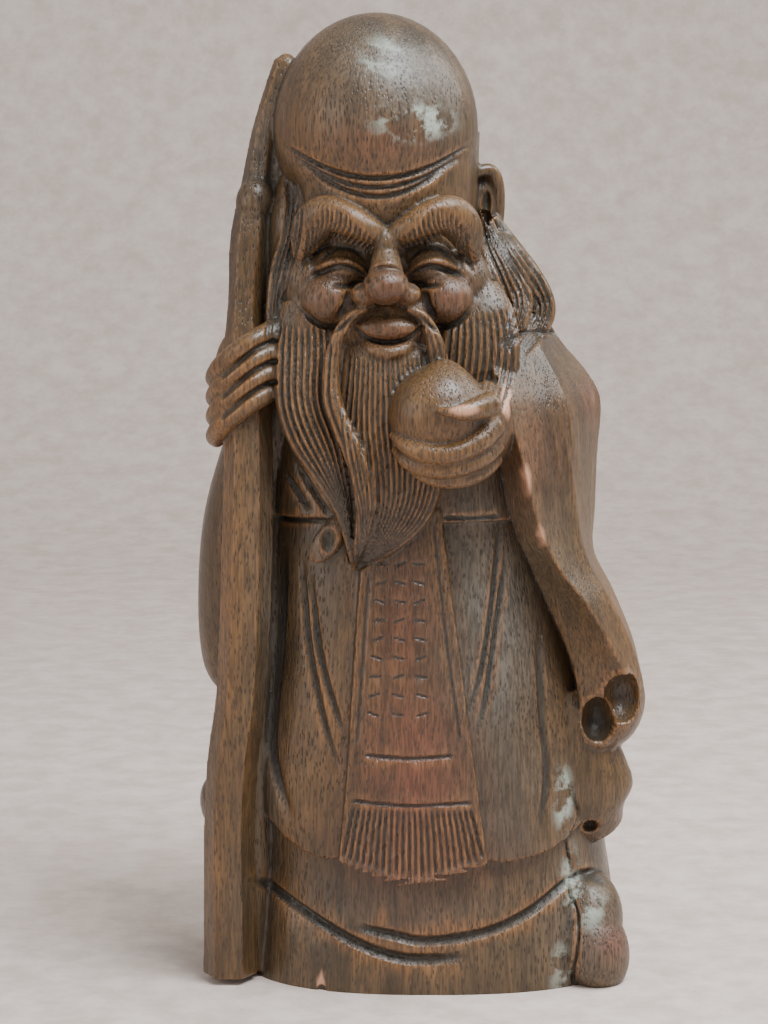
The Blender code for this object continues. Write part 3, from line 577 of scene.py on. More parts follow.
STAFF_PATH = [(-135, -26, 950), (-147, -32, 912), (-157, -38, 872), (-164, -48, 822), (-168, -56, 792),
              (-173, -64, 738), (-176, -74, 688), (-173, -88, 608), (-172, -98, 527), (-174, -104, 445),
              (-177, -106, 362), (-181, -104, 298), (-190, -100, 234), (-194, -98, 160), (-194, -96, 85),
              (-194, -94, STAFF_FOOT)]
STAFF_FACETING = 1.06
STAFF_THICKNESS = [0.44, 0.5, 0.62, 0.8, 0.68, 0.92, 0.95, 0.98, 1.0, 1.0, 1.0, 1.0, 1.0, 1.02, 1.06, 1.08]


def staff():
    """The staff is whittled in facets, so its corners stand a little outside its round size."""
    path = smooth_path(STAFF_PATH, 40)
    return [
        rod("staff", path, [STAFF_FACETING * STAFF_RADIUS * s for s in STAFF_THICKNESS], roundness=1),
        ball("staff_head", (-134, -26, 942), (12, 12, 16)),
        ball("staff_knot", (-166, -58, 808), (19, 20, 24), (0, 8, 0)),
    ]


FINGER_SPACING = 20


def staff_hand():
    """Four fingers close slantwise round the staff."""
    made = []
    radii = [HAND_FINGER_RADIUS * s for s in (0.8, 1, 1, 1, 0.9, 0.8)]
    for i in range(4):
        drop = i * FINGER_SPACING
        path = [(-140, -88, 686 - drop), (-152, -113, 678 - drop), (-174, -125, 665 - drop),
                (-195, -113, 647 - drop), (-206, -88, 632 - drop), (-206, -60, 624 - drop)]
        made.append(rod(f"staff_finger_{i + 1}", path, radii))
    made.append(ball("staff_palm", (-178, -70, 632), (30, 34, 50)))
    return made


def bow_end():
    """The leaf-shaped end of the belt's bow."""
    return ball("bow_end", (-90, -120, 469), (14, 10, 29), (0, 36, 0))


def foot():
    """The tip of a shoe shows at the skirt's corner."""
    return [
        ball("shoe", (184, -92, 34), (37, 46, 50), (0, -16, 0)),
        ball("shoe_side", (180, -76, 62), (36, 50, 50)),
    ]


def blocks():
    made = [robe(), under_robe(), chest_cloth(), sash(), staff_web(), hunched_back(), right_sleeve(),
            left_sleeve(), skull(), dome(), peach(), bow_end()]
    for group in (right_sleeve_end, robe_corners, brows, eyes, nose, cheeks, mouth, ears, hair, beard,
                  peach_hand, staff, staff_hand, foot):
        made.extend(group())
    return made


# Fusing and cutting.
# The rough forms become one skin, and each groove is pressed into it along its path.

def fuse(name, pieces, voxel):
    """One skin over all the pieces, from a voxel remesh."""
    with bpy.context.temp_override(active_object=pieces[0], selected_editable_objects=pieces):
        bpy.ops.object.join()
    block = pieces[0]
    remesh = block.modifiers.new("fuse", "REMESH")
    remesh.mode = "VOXEL"
    remesh.voxel_size = voxel * MIL
    smooth = block.modifiers.new("soften", "SMOOTH")
    smooth.factor = 0.5
    smooth.iterations = SOFTEN_STEPS
    graph = bpy.context.evaluated_depsgraph_get()
    mesh = bpy.data.meshes.new_from_object(block.evaluated_get(graph))
    mesh.name = name
    bpy.data.objects.remove(block)
    obj = bpy.data.objects.new(name, mesh)
    bpy.context.scene.collection.objects.link(obj)
    return obj


def keep_main_body(obj):
    """Drops the small shells that fusing leaves in pockets between the pieces."""
    shape = bmesh.new()
    shape.from_mesh(obj.data)
    waiting, bodies = set(shape.verts), []
    while waiting:
        body, edge = set(), {waiting.pop()}
        while edge:
            body |= edge
            edge = {e.other_vert(v) for v in edge for e in v.link_edges} - body
        waiting -= body
        bodies.append(body)
    main_body = max(bodies, key=len)
    loose = [v for body in bodies if body is not main_body for v in body]
    bmesh.ops.delete(shape, geom=loose, context="VERTS")
    shape.to_mesh(obj.data)
    shape.free()


class Relief:
    """How deep the surface is cut at each point, gathered stroke by stroke, as seen from the front."""

    def __init__(self, mesh):
        count = len(mesh.vertices)
        self.points = np.empty(count * 3, np.float32)
        mesh.vertices.foreach_get("co", self.points)
        self.points = self.points.reshape(-1, 3).astype(float) / MIL
        normals = np.empty(count * 3, np.float32)
        mesh.vertex_normals.foreach_get("vector", normals)
        self.normals = normals.reshape(-1, 3).astype(float)
        self.depth = np.zeros(count)
        self.facing = np.clip(-4 * self.normals[:, 1], 0, 1)

    def distance(self, path, reach, back, front):
        """The points within reach of a path of (x, z) places, how far off, and how far along it."""
        x, z = self.points[:, 0], self.points[:, 2]
        near = ((x > path[:, 0].min() - reach) & (x < path[:, 0].max() + reach)
                & (z > path[:, 1].min() - reach) & (z < path[:, 1].max() + reach)
                & (self.facing > 0) & (self.points[:, 1] < back) & (self.points[:, 1] > front))
        index = np.nonzero(near)[0]
        spots = np.column_stack([x[index], z[index]])
        best, place = np.full(len(index), 1e9), np.zeros(len(index))
        run = np.concatenate([[0], np.cumsum(np.linalg.norm(np.diff(path, axis=0), axis=1))])
        for i, (a, b) in enumerate(zip(path, path[1:])):
            span = b - a
            share = np.clip(((spots - a) @ span) / max(span @ span, 1e-9), 0, 1)
            gap = np.linalg.norm(spots - a - share[:, None] * span, axis=1)
            closer = gap < best
            best[closer] = gap[closer]
            place[closer] = (run[i] + share[closer] * (run[i + 1] - run[i])) / run[-1]
        inside = best < reach
        return index[inside], best[inside], place[inside]

    def stroke(self, points, width=GROOVE_WIDTH, depth=GROOVE_DEPTH, taper=0.25, back=-20, front=-300):
        """A V groove along a smooth path, running out at its ends, only between front and back."""
        index, gap, place = self.distance(smooth_path(points, 24), width / 2, back, front)
        ends = np.clip(np.minimum(place, 1 - place) / max(taper, 1e-3), 0, 1) ** 0.7
        cut = depth * (1 - gap / (width / 2)) * np.maximum(ends, 0.15)
        self.depth[index] = np.maximum(self.depth[index], cut * self.facing[index])

    def comb(self, path, widths, strands, width, depth, start=0.0, end=1.0, back=-40, front=-174,
             taper=0.08):
        """Strand lines that run side by side down a lock."""
        spine = smooth_path([(p[0], p[2]) for p in path], 40)
        ahead = np.gradient(spine, axis=0)
        ahead /= np.linalg.norm(ahead, axis=1)[:, None]
        half = along([w / 2 for w in widths], np.linspace(0, 1, len(spine)))
        part = slice(round(start * 39), round(end * 39) + 1)
        for i in range(1, strands):
            share = 2 * i / strands - 1
            line = spine + share * half[:, None] * np.column_stack([ahead[:, 1], -ahead[:, 0]])
            self.stroke(line[part], width, depth, taper, back, front)

    def hollow(self, centre, radii):
        """Hollows a bowl out of the surface, as seen from the front."""
        offset = (self.points - np.array(centre)) / np.array(radii)
        flat = offset[:, 0] ** 2 + offset[:, 2] ** 2
        inside = (flat < 1) & (np.abs(offset[:, 1]) < 1.6) & (self.facing > 0)
        floor = centre[1] + radii[1] * (1 - np.clip(flat, 0, 1)) ** 0.7
        self.points[:, 1] = np.where(inside, np.maximum(self.points[:, 1], floor), self.points[:, 1])

    def apply(self, mesh):
        inward = -self.normals * (1, 1, 0.25)
        moved = self.points + inward * self.depth[:, None]
        mesh.vertices.foreach_set("co", (moved * MIL).astype(np.float32).ravel())
        mesh.update()


# The cuts.
# Their places are across and up, as shares of the figure's height.

def wrinkles(relief):
    """Three folds sag across the forehead, under the bald dome."""
    for drop, spread, depth in ((0, 95, 7), (9, 88, 6), (18, 74, 6)):
        path = [(-41 + spread * s, 834 - drop + 33 * s * s) for s in np.linspace(-1, 1, 9)]
        relief.stroke(path, WRINKLE_WIDTH, depth, 0.15, back=-30)


def face_lines(relief):
    """The lids, the creases over and under the eyes, the smile lines and the line of the mouth."""
    for side in (-1, 1):
        x = FACE_MIDDLE + side * EYE_OFFSET
        slit = [(x - side * 27, 731), (x - side * 16, 741), (x, 746), (x + side * 17, 742),
                (x + side * 31, 735)]
        lower = [(x - side * 22, 730), (x - side * 6, 726), (x + side * 12, 729)]
        crease = [(x - side * 27, 748), (x - side * 12, 762), (x + side * 8, 763), (x + side * 28, 748)]
        for path, width, depth in ((slit, 9, 9), (lower, 8, 5), (crease, 9, 5)):
            relief.stroke(path, width, depth, back=-60)
        smile = [(FACE_MIDDLE + side * out, z) for out, z in ((37, 722), (40, 708), (49, 694))]
        under_cheek = [(x - side * 14, 700), (x + side * 4, 686), (x + side * 24, 688), (x + side * 40, 702)]
        relief.stroke(smile, 10, 7, back=-80)
        relief.stroke(under_cheek, 9, 6, back=-60)
    relief.stroke([(-68, 689), (-52, 676), (-30, 671), (-9, 676), (7, 689)], 6, 7, 0.15, back=-90)
    relief.stroke([(-31, 706), (-30, 700), (-30, 694)], 9, 2, back=-90)


def brow_hairs(relief, count, width, depth):
    """Hairs hang from each brow's upper edge, down and outwards."""
    for side in (-1, 1):
        for i in range(count):
            share = i / (count - 1)
            root = FACE_MIDDLE + side * (12 + 66 * share)
            top = along([782, 796, 812, 812, 792], share) - 8
            foot = along([762, 766, 774, 762, 738], share)
            path = [(root, top), (root + side * 2, (top + foot) / 2), (root + side * 9, foot)]
            relief.stroke(path, width, depth, 0.15, back=-85)


def robe_folds(relief):
    """Folds at the chest and down both sides of the skirt, and the belt's edges."""
    chest = [[(-135, 532), (-122, 514), (-110, 496)], [(-124, 544), (-107, 518), (-89, 492)]]
    left = [[(-118, 449), (-111, 359), (-95, 281), (-79, 231)], [(-110, 434), (-98, 344), (-73, 262)]]
    right = [[(84, 479), (75, 396), (64, 331), (50, 293)], [(91, 454), (81, 386), (68, 301), (59, 273)]]
    for path in chest + left + right:
        relief.stroke(path, back=-60)
    relief.stroke([(-137, 455), (-142, 356), (-150, 247), (-130, 179)], 14, 9, back=-40)
    relief.stroke([(124, 371), (128, 291), (133, 223), (124, 163)], 11, 6, back=-50)
    relief.stroke([(-146, 484), (-122, 485), (-90, 488)], 8, 6, 0.1, back=-70)
    relief.stroke([(27, 492), (54, 490), (82, 491)], 8, 5, 0.05, back=-60)


def waves(relief):
    """Two long folds cross like waves along the skirt's foot."""
    lower = [(-169, 106), (-147, 95), (-119, 81), (-66, 54), (-25, 40), (10, 37), (51, 40)]
    upper = [(-66, 70), (-25, 62), (10, 56), (72, 65), (118, 84), (156, 109), (178, 112), (202, 100)]
    relief.stroke(lower, 14, 9, 0.15, back=-30)
    relief.stroke(upper, 13, 8, 0.1, back=-30)


def finger_grooves(relief):
    """The grooves between the fingers on the staff."""
    for i in range(3):
        drop = i * 20.5
        path = [(-141, 672 - drop), (-160, 664 - drop), (-180, 650 - drop), (-200, 633 - drop)]
        relief.stroke(path, 8, 6, 0.05, back=-60)


def hollows(relief):
    """The openings of the rolled sleeve, the folded hem, the bow and the right ear."""
    relief.hollow((212, -106, 302), (21, 24, 27))
    relief.hollow((186, -98, 278), (17, 22, 24))
    relief.hollow((180, -98, 163), (9, 16, 8))
    relief.hollow((-90, -131, 469), (9, 9, 15))
    relief.hollow((72, -38, 806), (8, 20, 22))


def hair_lines(relief):
    """The strands of the beard, the moustache, the hair and the brows."""
    brow_hairs(relief, count=15, width=4.4, depth=4)
    relief.comb(*LEFT_BEARD[:2], strands=9, width=5.5, depth=5.5, start=0.08, taper=0.05)
    relief.comb(*MAIN_BEARD[:2], strands=18, width=4.8, depth=4.5, start=0.03, taper=0.05)
    relief.comb(*RIGHT_BEARD[:2], strands=11, width=5.5, depth=4.5, start=0.2)
    relief.comb(*LEFT_MOUSTACHE[:2], strands=3, width=4, depth=2.5, start=0.12)
    relief.comb(*RIGHT_MOUSTACHE[:2], strands=3, width=4, depth=2.5, start=0.2)
    for lock_shape in (*RIGHT_HAIR.values(), LEFT_HAIR):
        relief.comb(*lock_shape[:2], strands=5, width=6, depth=5, back=0)


FRINGE_STRANDS = 22
FRINGE_TOP = 198
STROKE_ROWS = 9
STROKES_IN_ROW = 3
TOP_ROW = 446
ROW_SPACING = 19
STROKE_REACH = 6.5


def sash_lines(relief):
    """The sash's borders, two cross bands, the fringe, and rows of shallow strokes above it."""
    relief.stroke([(-49, 440), (-55, 360), (-62, 262)], 5, 3, 0.05, back=-90)
    relief.stroke([(16, 490), (28, 378), (44, 262)], 5, 3, 0.05, back=-90)
    relief.stroke([(-54, 252), (-8, 249), (37, 252)], 6, 4, 0.05, back=-90)
    relief.stroke([(-68, 205), (-8, 201), (56, 204)], 6, 4, 0.05, back=-90)
    for i in range(FRINGE_STRANDS):
        share = (i + 0.5) / FRINGE_STRANDS
        top, foot = -68 + 124 * share, -80 + 150 * share
        hem = SASH_CORNER - (SASH_CORNER - SASH_TIP) * (1 - abs(2 * share - 1)) ** 0.8
        strand = [(top, FRINGE_TOP), ((top + foot) / 2, 172), (foot, hem + 6)]
        relief.stroke(strand, 5.4, 4.5, 0.1, back=-120)
    for row in range(STROKE_ROWS):
        height = TOP_ROW - ROW_SPACING * row
        middle = -17 - 0.4 * row
        spread = 18 + 0.9 * row
        for i in range(STROKES_IN_ROW):
            x = middle + (i - 1) * spread
            lean = 2.5 * math.sin(2.1 * row + 1.7 * i)
            mark = [(x - STROKE_REACH, height - lean), (x + STROKE_REACH, height + lean)]
            relief.stroke(mark, 4.2, 2.6, 0.1, back=-90)


def wear_and_tear(relief):
    """A crack down the right corner and skirt, and a chip out of the foot."""
    hem_crack = [(156, 230), (161, 200), (167, 180), (162, 166), (153, 157)]
    skirt_crack = [(153, 157), (157, 138), (160, 118), (159, 96), (166, 74), (164, 40), (161, 20),
                   (163, -4)]
    relief.stroke(hem_crack, 3.5, 4, 0.2, back=-40)
    relief.stroke(skirt_crack, 4.5, 7, 0.1, back=-40)
    relief.hollow((-100, -140, 0), (9, 10, 12))


def sleeve_lines(relief):
    """The cuff's edge and three faint folds down the right sleeve."""
    relief.stroke([(84, 668), (110, 676), (140, 672), (164, 656)], 8, 6, 0.2, back=60)
    for shift in (0, 10, 21):
        relief.stroke([(128 + shift, 636 - shift), (136 + shift, 560), (150 + shift, 480)], 9, 2.2, 0.4, back=20)


NEAR_STEPS = 6
WIDE_STEPS = 60


def curvature(obj, relief_depth):
    """Stores how far each point lies below or above the surface round it, near and wide."""
    mesh = obj.data
    count = len(mesh.vertices)
    points = np.empty(count * 3, np.float32)
    mesh.vertices.foreach_get("co", points)
    points = points.reshape(-1, 3).astype(float)
    normals = np.empty(count * 3, np.float32)
    mesh.vertex_normals.foreach_get("vector", normals)
    normals = normals.reshape(-1, 3)
    ends = np.empty(len(mesh.edges) * 2, np.int32)
    mesh.edges.foreach_get("vertices", ends)
    a, b = ends.reshape(-1, 2).T
    links = np.bincount(a, minlength=count) + np.bincount(b, minlength=count)
    spread = points.copy()
    heights = {}
    for step in range(1, WIDE_STEPS + 1):
        total = [np.bincount(a, spread[b, k], count) + np.bincount(b, spread[a, k], count)
                 for k in range(3)]
        spread = 0.3 * spread + 0.7 * np.stack(total, axis=1) / links[:, None]
        if step in (NEAR_STEPS, WIDE_STEPS):
            heights[step] = ((points - spread) * normals).sum(axis=1) / MIL
    layers = {"ridge": heights[NEAR_STEPS], "swell": heights[WIDE_STEPS], "cut": relief_depth}
    for name, values in layers.items():
        layer = mesh.attributes.new(name, "FLOAT", "POINT")
        layer.data.foreach_set("value", values.astype(np.float32))


def saw_foot(obj):
    """Saws the figure off flat at z = 0."""
    shape = bmesh.new()
    shape.from_mesh(obj.data)
    everything = shape.verts[:] + shape.edges[:] + shape.faces[:]
    cut = bmesh.ops.bisect_plane(shape, geom=everything, dist=1e-7, plane_co=(0, 0, 0),
                                 plane_no=(0, 0, -1), clear_outer=True)
    rim = [e for e in cut["geom_cut"] if isinstance(e, bmesh.types.BMEdge)]
    bmesh.ops.holes_fill(shape, edges=rim, sides=0)
    bmesh.ops.triangulate(shape, faces=shape.faces[:])
    shape.to_mesh(obj.data)
    shape.free()


def thin_out(obj, triangles):
    """Leaves about this many triangles, most of them where the carving is."""
    obj.data.calc_loop_triangles()
    thin = obj.modifiers.new("thin_out", "DECIMATE")
    thin.ratio = triangles / len(obj.data.loop_triangles)
    thin.use_collapse_triangulate = True
    graph = bpy.context.evaluated_depsgraph_get()
    mesh = bpy.data.meshes.new_from_object(obj.evaluated_get(graph))
    obj.modifiers.clear()
    obj.data = mesh


figure = fuse("carved_figure", blocks(), BLOCK_VOXEL)
keep_main_body(figure)
relief = Relief(figure.data)
wrinkles(relief)
face_lines(relief)
hair_lines(relief)
robe_folds(relief)
sash_lines(relief)
sleeve_lines(relief)
waves(relief)
finger_grooves(relief)
wear_and_tear(relief)
hollows(relief)
relief.apply(figure.data)
curvature(figure, relief.depth)
thin_out(figure, FINISHED_TRIANGLES)
saw_foot(figure)
keep_main_body(figure)
figure.data.shade_smooth()


# The wood's coloured areas.
# The old finish is worn to orange, red or bare wood where it is handled, and dusty in the folds; some grey and
# pale spots are a painted sheen and a painted highlight.
# Each area is a soft spot or strip on the carving, kept as a value at each point.

def design_points(mesh):
    points = np.empty(len(mesh.vertices) * 3, np.float32)
    mesh.vertices.foreach_get("co", points)
    return points.reshape(-1, 3) / MIL


def spot(points, centre, radii):
    """A soft spot, 1 at its middle and falling off outwards."""
    far = sum(((points[:, k] - centre[k]) / radii[k]) ** 2 for k in range(3))
    return np.exp(-far)


def paint_area(mesh, name, spots):
    """Stores an area as a value at each point, from spots of (strength, centre, radii)."""
    points = design_points(mesh)
    value = np.zeros(len(points))
    for strength, centre, radii in spots:
        value = np.maximum(value, strength * spot(points, centre, radii))
    layer = mesh.attributes.new(name, "FLOAT", "POINT")
    layer.data.foreach_set("value", value.astype(np.float32))


WEAR_AND_SHEEN_AREAS = {
    # Old red paint, on the sash, the nose, the cheeks, the lips and the shoe.
    "red": [
        (1.0, (-5, -160, 225), (58, 60, 120)), (0.9, (-5, -170, 150), (80, 60, 50)),
        (0.6, (-15, -150, 380), (40, 60, 90)), (0.8, (-32, -160, 726), (24, 60, 18)),
        (0.7, (30, -120, 716), (24, 60, 20)), (0.6, (-92, -120, 716), (22, 60, 20)),
        (0.6, (-30, -140, 680), (30, 60, 12)), (1.0, (200, -120, 50), (26, 60, 18)),
        (0.5, (-40, -150, 868), (60, 60, 22)), (0.6, (183, -60, 610), (16, 80, 30)),
        (0.4, (110, -120, 560), (40, 60, 60)),
    ],
    # Dust with a painted sheen of window light, on the skirt, the dome and the ledges.
    "dust_and_sheen": [
        (1.0, (78, -140, 380), (46, 90, 110)), (0.9, (-20, -100, 940), (62, 90, 46)),
        (0.5, (100, -140, 220), (40, 80, 70)), (0.5, (170, -110, 60), (40, 70, 70)),
        (0.7, (-150, -110, 300), (10, 80, 280)), (0.5, (-100, -130, 480), (30, 60, 60)),
        (0.6, (-160, -70, 850), (14, 60, 60)), (0.5, (60, -110, 500), (34, 60, 26)),
        (0.5, (-60, -150, 90), (120, 60, 30)),
    ],
    # A pale painted highlight on the forehead, and pale chalky marks down the right corner.
    "chalk_and_glare": [
        (1.0, (0, -150, 890), (48, 60, 20)), (0.8, (-32, -120, 950), (30, 80, 26)),
        (1.0, (150, -120, 200), (12, 60, 34)), (1.0, (160, -120, 110), (12, 60, 40)),
        (0.9, (176, -110, 82), (22, 60, 20)), (0.8, (148, -130, 20), (14, 60, 30)),
    ],
    # Bare wood, on knocked edges.
    "bare": [
        (1.0, (88, -158, 615), (7, 30, 22)), (0.8, (107, -158, 530), (8, 30, 26)),
        (0.8, (122, -158, 470), (8, 30, 24)), (0.7, (184, -60, 605), (8, 60, 20)),
        (1.0, (-100, -150, 10), (8, 40, 10)), (0.8, (45, -224, 612), (22, 12, 8)),
    ],
    # Finish rubbed to gold by handling, on the staff, the hands, the brows and the sleeve.
    "gold": [
        (1.0, (-200, -110, 560), (16, 40, 150)), (1.0, (-196, -110, 400), (20, 40, 200)),
        (0.8, (-205, -110, 120), (14, 40, 130)), (0.8, (20, -190, 580), (60, 60, 70)),
        (0.8, (-70, -140, 800), (40, 60, 24)), (0.8, (20, -140, 800), (40, 60, 24)),
        (0.7, (-180, -120, 640), (30, 60, 50)), (0.8, (210, -60, 380), (40, 90, 120)),
        (0.5, (-60, -150, 560), (50, 60, 120)), (0.5, (-110, -130, 220), (50, 60, 90)),
        (0.6, (-90, -90, 880), (60, 90, 60)),
    ],
}
for area_name, area_spots in WEAR_AND_SHEEN_AREAS.items():
    paint_area(figure.data, area_name, area_spots)


# The wood's surface.
# Old oiled wood like palm: dark pores, long on the sides and round on top, and dust with painted shade in the
# cuts and hollows.
# One material, drawn in the object's own coordinates from noise and from the values stored above.

DARK_WOOD = (0.052, 0.034, 0.017, 1)
BROWN_WOOD = (0.125, 0.072, 0.031, 1)
CLOUDY_WOOD = (0.155, 0.095, 0.045, 1)
GOLDEN_FINISH = (0.26, 0.122, 0.038, 1)
RED_PAINT = (0.20, 0.068, 0.040, 1)
# Grey dust with a painted sheen of window light.
DUST_AND_SHEEN_GREY = (0.165, 0.160, 0.140, 1)
RUBBED_EDGE = (0.34, 0.155, 0.055, 1)
DARK_FIBRE = (0.030, 0.020, 0.011, 1)
PORE_BLACK = (0.018, 0.012, 0.008, 1)
# Painted shade, with dust, for the hollows, creases and cut grooves.
GRIME_AND_SHADE = (0.034, 0.031, 0.025, 1)
# Pale chalk marks, and a painted highlight on the forehead.
CHALK_AND_GLARE = (0.42, 0.47, 0.40, 1)
BARE_WOOD = (0.62, 0.33, 0.21, 1)

PORES_PER_METRE = (1350.0, 1350.0, 330.0)
FIBRES_PER_METRE = (1500.0, 1500.0, 110.0)
STREAKS_PER_METRE = (160.0, 160.0, 9.0)
TOOL_MARKS_PER_METRE = (210.0, 210.0, 90.0)
BUMP_HEIGHT = 0.00025


def add_node(tree, kind, settings=None, **inputs):
    """Adds a node; a keyword such as i0 is an input by its number, and any other is one by name."""
    node = tree.nodes.new(kind)
    for key, value in (settings or {}).items():
        setattr(node, key, value)
    for key, value in inputs.items():
        socket = node.inputs[int(key[1:])] if key[0] == "i" and key[1:].isdigit() else node.inputs[key]
        if isinstance(value, bpy.types.NodeSocket):
            tree.links.new(value, socket)
        else:
            socket.default_value = value
    return node


def math_of(tree, operation, a, b=0.0, clamp=False):
    settings = {"operation": operation, "use_clamp": clamp}
    return add_node(tree, "ShaderNodeMath", settings, i0=a, i1=b).outputs[0]


def ranged(tree, value, low, high, to_low=0.0, to_high=1.0):
    return add_node(tree, "ShaderNodeMapRange", {"interpolation_type": "SMOOTHSTEP"},
                    i0=value, i1=low, i2=high, i3=to_low, i4=to_high).outputs[0]


def mixed(tree, share, a, b):
    node = add_node(tree, "ShaderNodeMix", {"data_type": "RGBA"})
    for socket, value in ((node.inputs[0], share), (node.inputs[6], a), (node.inputs[7], b)):
        if isinstance(value, bpy.types.NodeSocket):
            tree.links.new(value, socket)
        else:
            socket.default_value = value
    return node.outputs[2]


def stored(tree, name):
    return add_node(tree, "ShaderNodeAttribute", {"attribute_name": name}).outputs["Fac"]


def stretched(tree, place, scale):
    return add_node(tree, "ShaderNodeVectorMath", {"operation": "MULTIPLY"}, i0=place, i1=scale).outputs[0]


def noise(tree, place, scale, detail=3.0, roughness=0.55):
    return add_node(tree, "ShaderNodeTexNoise", {}, Vector=place, Scale=scale, Detail=detail,
                    Roughness=roughness).outputs["Fac"]


def carved_wood():
    material = bpy.data.materials.new("carved_wood")
    material.use_nodes = True
    tree = material.node_tree
    shader = tree.nodes["Principled BSDF"]
    place = add_node(tree, "ShaderNodeTexCoord").outputs["Object"]

    cells = stretched(tree, place, PORES_PER_METRE)
    wobble = add_node(tree, "ShaderNodeTexNoise", {}, Vector=place, Scale=120.0, Detail=1.0).outputs["Color"]
    shifted = add_node(tree, "ShaderNodeVectorMath", {"operation": "MULTIPLY_ADD"},
                       i0=wobble, i1=(2.2, 2.2, 1.0), i2=cells).outputs[0]
    pore_cells = add_node(tree, "ShaderNodeTexVoronoi", {"feature": "F1"}, Vector=shifted, Scale=1.0)
    pore = ranged(tree, pore_cells.outputs["Distance"], 0.14, 0.42, 1.0, 0.0)
    amount = ranged(tree, noise(tree, place, 30.0), 0.35, 0.65, 0.45, 1.0)
    pore = math_of(tree, "MULTIPLY", pore, amount)
    fibre = noise(tree, stretched(tree, place, FIBRES_PER_METRE), 1.0, 4.0, 0.65)
    streak = noise(tree, stretched(tree, place, STREAKS_PER_METRE), 1.0, 3.0, 0.5)
    cloud = noise(tree, place, 26.0, 4.0, 0.6)

    ridge, swell, cut = (stored(tree, name) for name in ("ridge", "swell", "cut"))
    # Painted shade with some dust: darker in wide hollows, in the cut grooves and in tight creases.
    grime_and_shade = math_of(tree, "MAXIMUM", ranged(tree, swell, -0.3, -4.0), ranged(tree, cut, 0.8, 4.0))
    grime_and_shade = math_of(tree, "MAXIMUM", grime_and_shade, ranged(tree, ridge, -0.05, -0.9))
    worn = math_of(tree, "MAXIMUM", ranged(tree, ridge, 0.08, 0.9), ranged(tree, swell, 1.0, 7.0, 0.0, 0.8))
    worn = math_of(tree, "MULTIPLY", worn, ranged(tree, cloud, 0.3, 0.6, 0.5, 1.0))

    colour = mixed(tree, ranged(tree, streak, 0.35, 0.65), DARK_WOOD, BROWN_WOOD)
    colour = mixed(tree, ranged(tree, cloud, 0.35, 0.7, 0.0, 0.5), colour, CLOUDY_WOOD)
    gold = math_of(tree, "MULTIPLY", stored(tree, "gold"), ranged(tree, cloud, 0.3, 0.6, 0.35, 0.85))
    colour = mixed(tree, gold, colour, GOLDEN_FINISH)
    red = math_of(tree, "MULTIPLY", stored(tree, "red"), ranged(tree, streak, 0.3, 0.6, 0.5, 0.9))
    colour = mixed(tree, red, colour, RED_PAINT)
    # Grey dust, and a painted sheen where the window light glances on the right skirt, the dome and a groove's
    # edge.
    dust_and_sheen = math_of(tree, "MULTIPLY", stored(tree, "dust_and_sheen"), ranged(tree, cloud, 0.3, 0.6, 0.3, 0.75))
    colour = mixed(tree, dust_and_sheen, colour, DUST_AND_SHEEN_GREY)
    colour = mixed(tree, math_of(tree, "MULTIPLY", worn, 0.6), colour, RUBBED_EDGE)
    colour = mixed(tree, ranged(tree, fibre, 0.38, 0.62, 0.6, 0.0), colour, DARK_FIBRE)
    colour = mixed(tree, math_of(tree, "MULTIPLY", pore, 0.7), colour, PORE_BLACK)
    # The painted shade and dust darken the hollows and cuts.
    colour = mixed(tree, math_of(tree, "MULTIPLY", grime_and_shade, 0.75), colour, GRIME_AND_SHADE)
    # Pale chalk down the right corner, and a painted highlight on the forehead.
    patchy = ranged(tree, noise(tree, place, 160.0, 5.0, 0.7), 0.45, 0.6)
    chalk_and_glare = math_of(tree, "MULTIPLY", ranged(tree, stored(tree, "chalk_and_glare"), 0.15, 0.8), patchy)
    colour = mixed(tree, math_of(tree, "MULTIPLY", chalk_and_glare, 0.75), colour, CHALK_AND_GLARE)
    on_edges = ranged(tree, ridge, -0.1, 0.2)
    bare = math_of(tree, "MULTIPLY", ranged(tree, stored(tree, "bare"), 0.3, 0.7), on_edges)
    colour = mixed(tree, math_of(tree, "MULTIPLY", bare, 0.85), colour, BARE_WOOD)
    tree.links.new(colour, shader.inputs["Base Color"])

    rough = ranged(tree, cloud, 0.3, 0.7, 0.28, 0.44)
    rough = math_of(tree, "ADD", rough, math_of(tree, "MULTIPLY", grime_and_shade, 0.08))
    rough = math_of(tree, "SUBTRACT", rough, math_of(tree, "MULTIPLY", worn, 0.1))
    rough = math_of(tree, "ADD", rough, math_of(tree, "MULTIPLY", chalk_and_glare, 0.25), clamp=True)
    tree.links.new(rough, shader.inputs["Roughness"])
    height = math_of(tree, "SUBTRACT", math_of(tree, "MULTIPLY", fibre, 0.5), pore)
    chips = noise(tree, stretched(tree, place, TOOL_MARKS_PER_METRE), 1.0, 2.0, 0.5)
    height = math_of(tree, "ADD", height, math_of(tree, "MULTIPLY", chips, 2.2))
    bump = add_node(tree, "ShaderNodeBump", {}, Strength=0.6, Distance=BUMP_HEIGHT, Height=height)
    tree.links.new(bump.outputs["Normal"], shader.inputs["Normal"])
    return material


figure.data.materials.clear()
figure.data.materials.append(carved_wood())


# The figure's place.
# The carving is put where the plain solid stands, box on box.
# Seating it this way keeps its size to the plain solid's.

design = design_points(figure.data) * MIL
low, high = design.min(axis=0), design.max(axis=0)
cad_low, cad_high = np.array(cad_box[0]), np.array(cad_box[1])
fit = (cad_high - cad_low) / (high - low)


def in_frame(point):
    return Vector((np.array(point) * MIL - low) * fit + cad_low)


figure.data.vertices.foreach_set("co", ((design - low) * fit + cad_low).astype(np.float32).ravel())
figure.data.update()
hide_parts("shoulao_figure")
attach(figure, "root")


# The floor and the backdrop.
# One pale, faintly mottled sheet: a floor that bends up behind the figure.
# A profile of points is swept sideways into a wide strip.

FLOOR_REACH = 1.2
FLOOR_HALF_WIDTH = 2.0
BACKDROP_RISE = 1.6
BACKDROP_BEND = 0.5
BEND_STEPS = 24
PALE_FLOOR = (0.60, 0.49, 0.42, 1)
PALER_FLOOR = (0.76, 0.66, 0.59, 1)


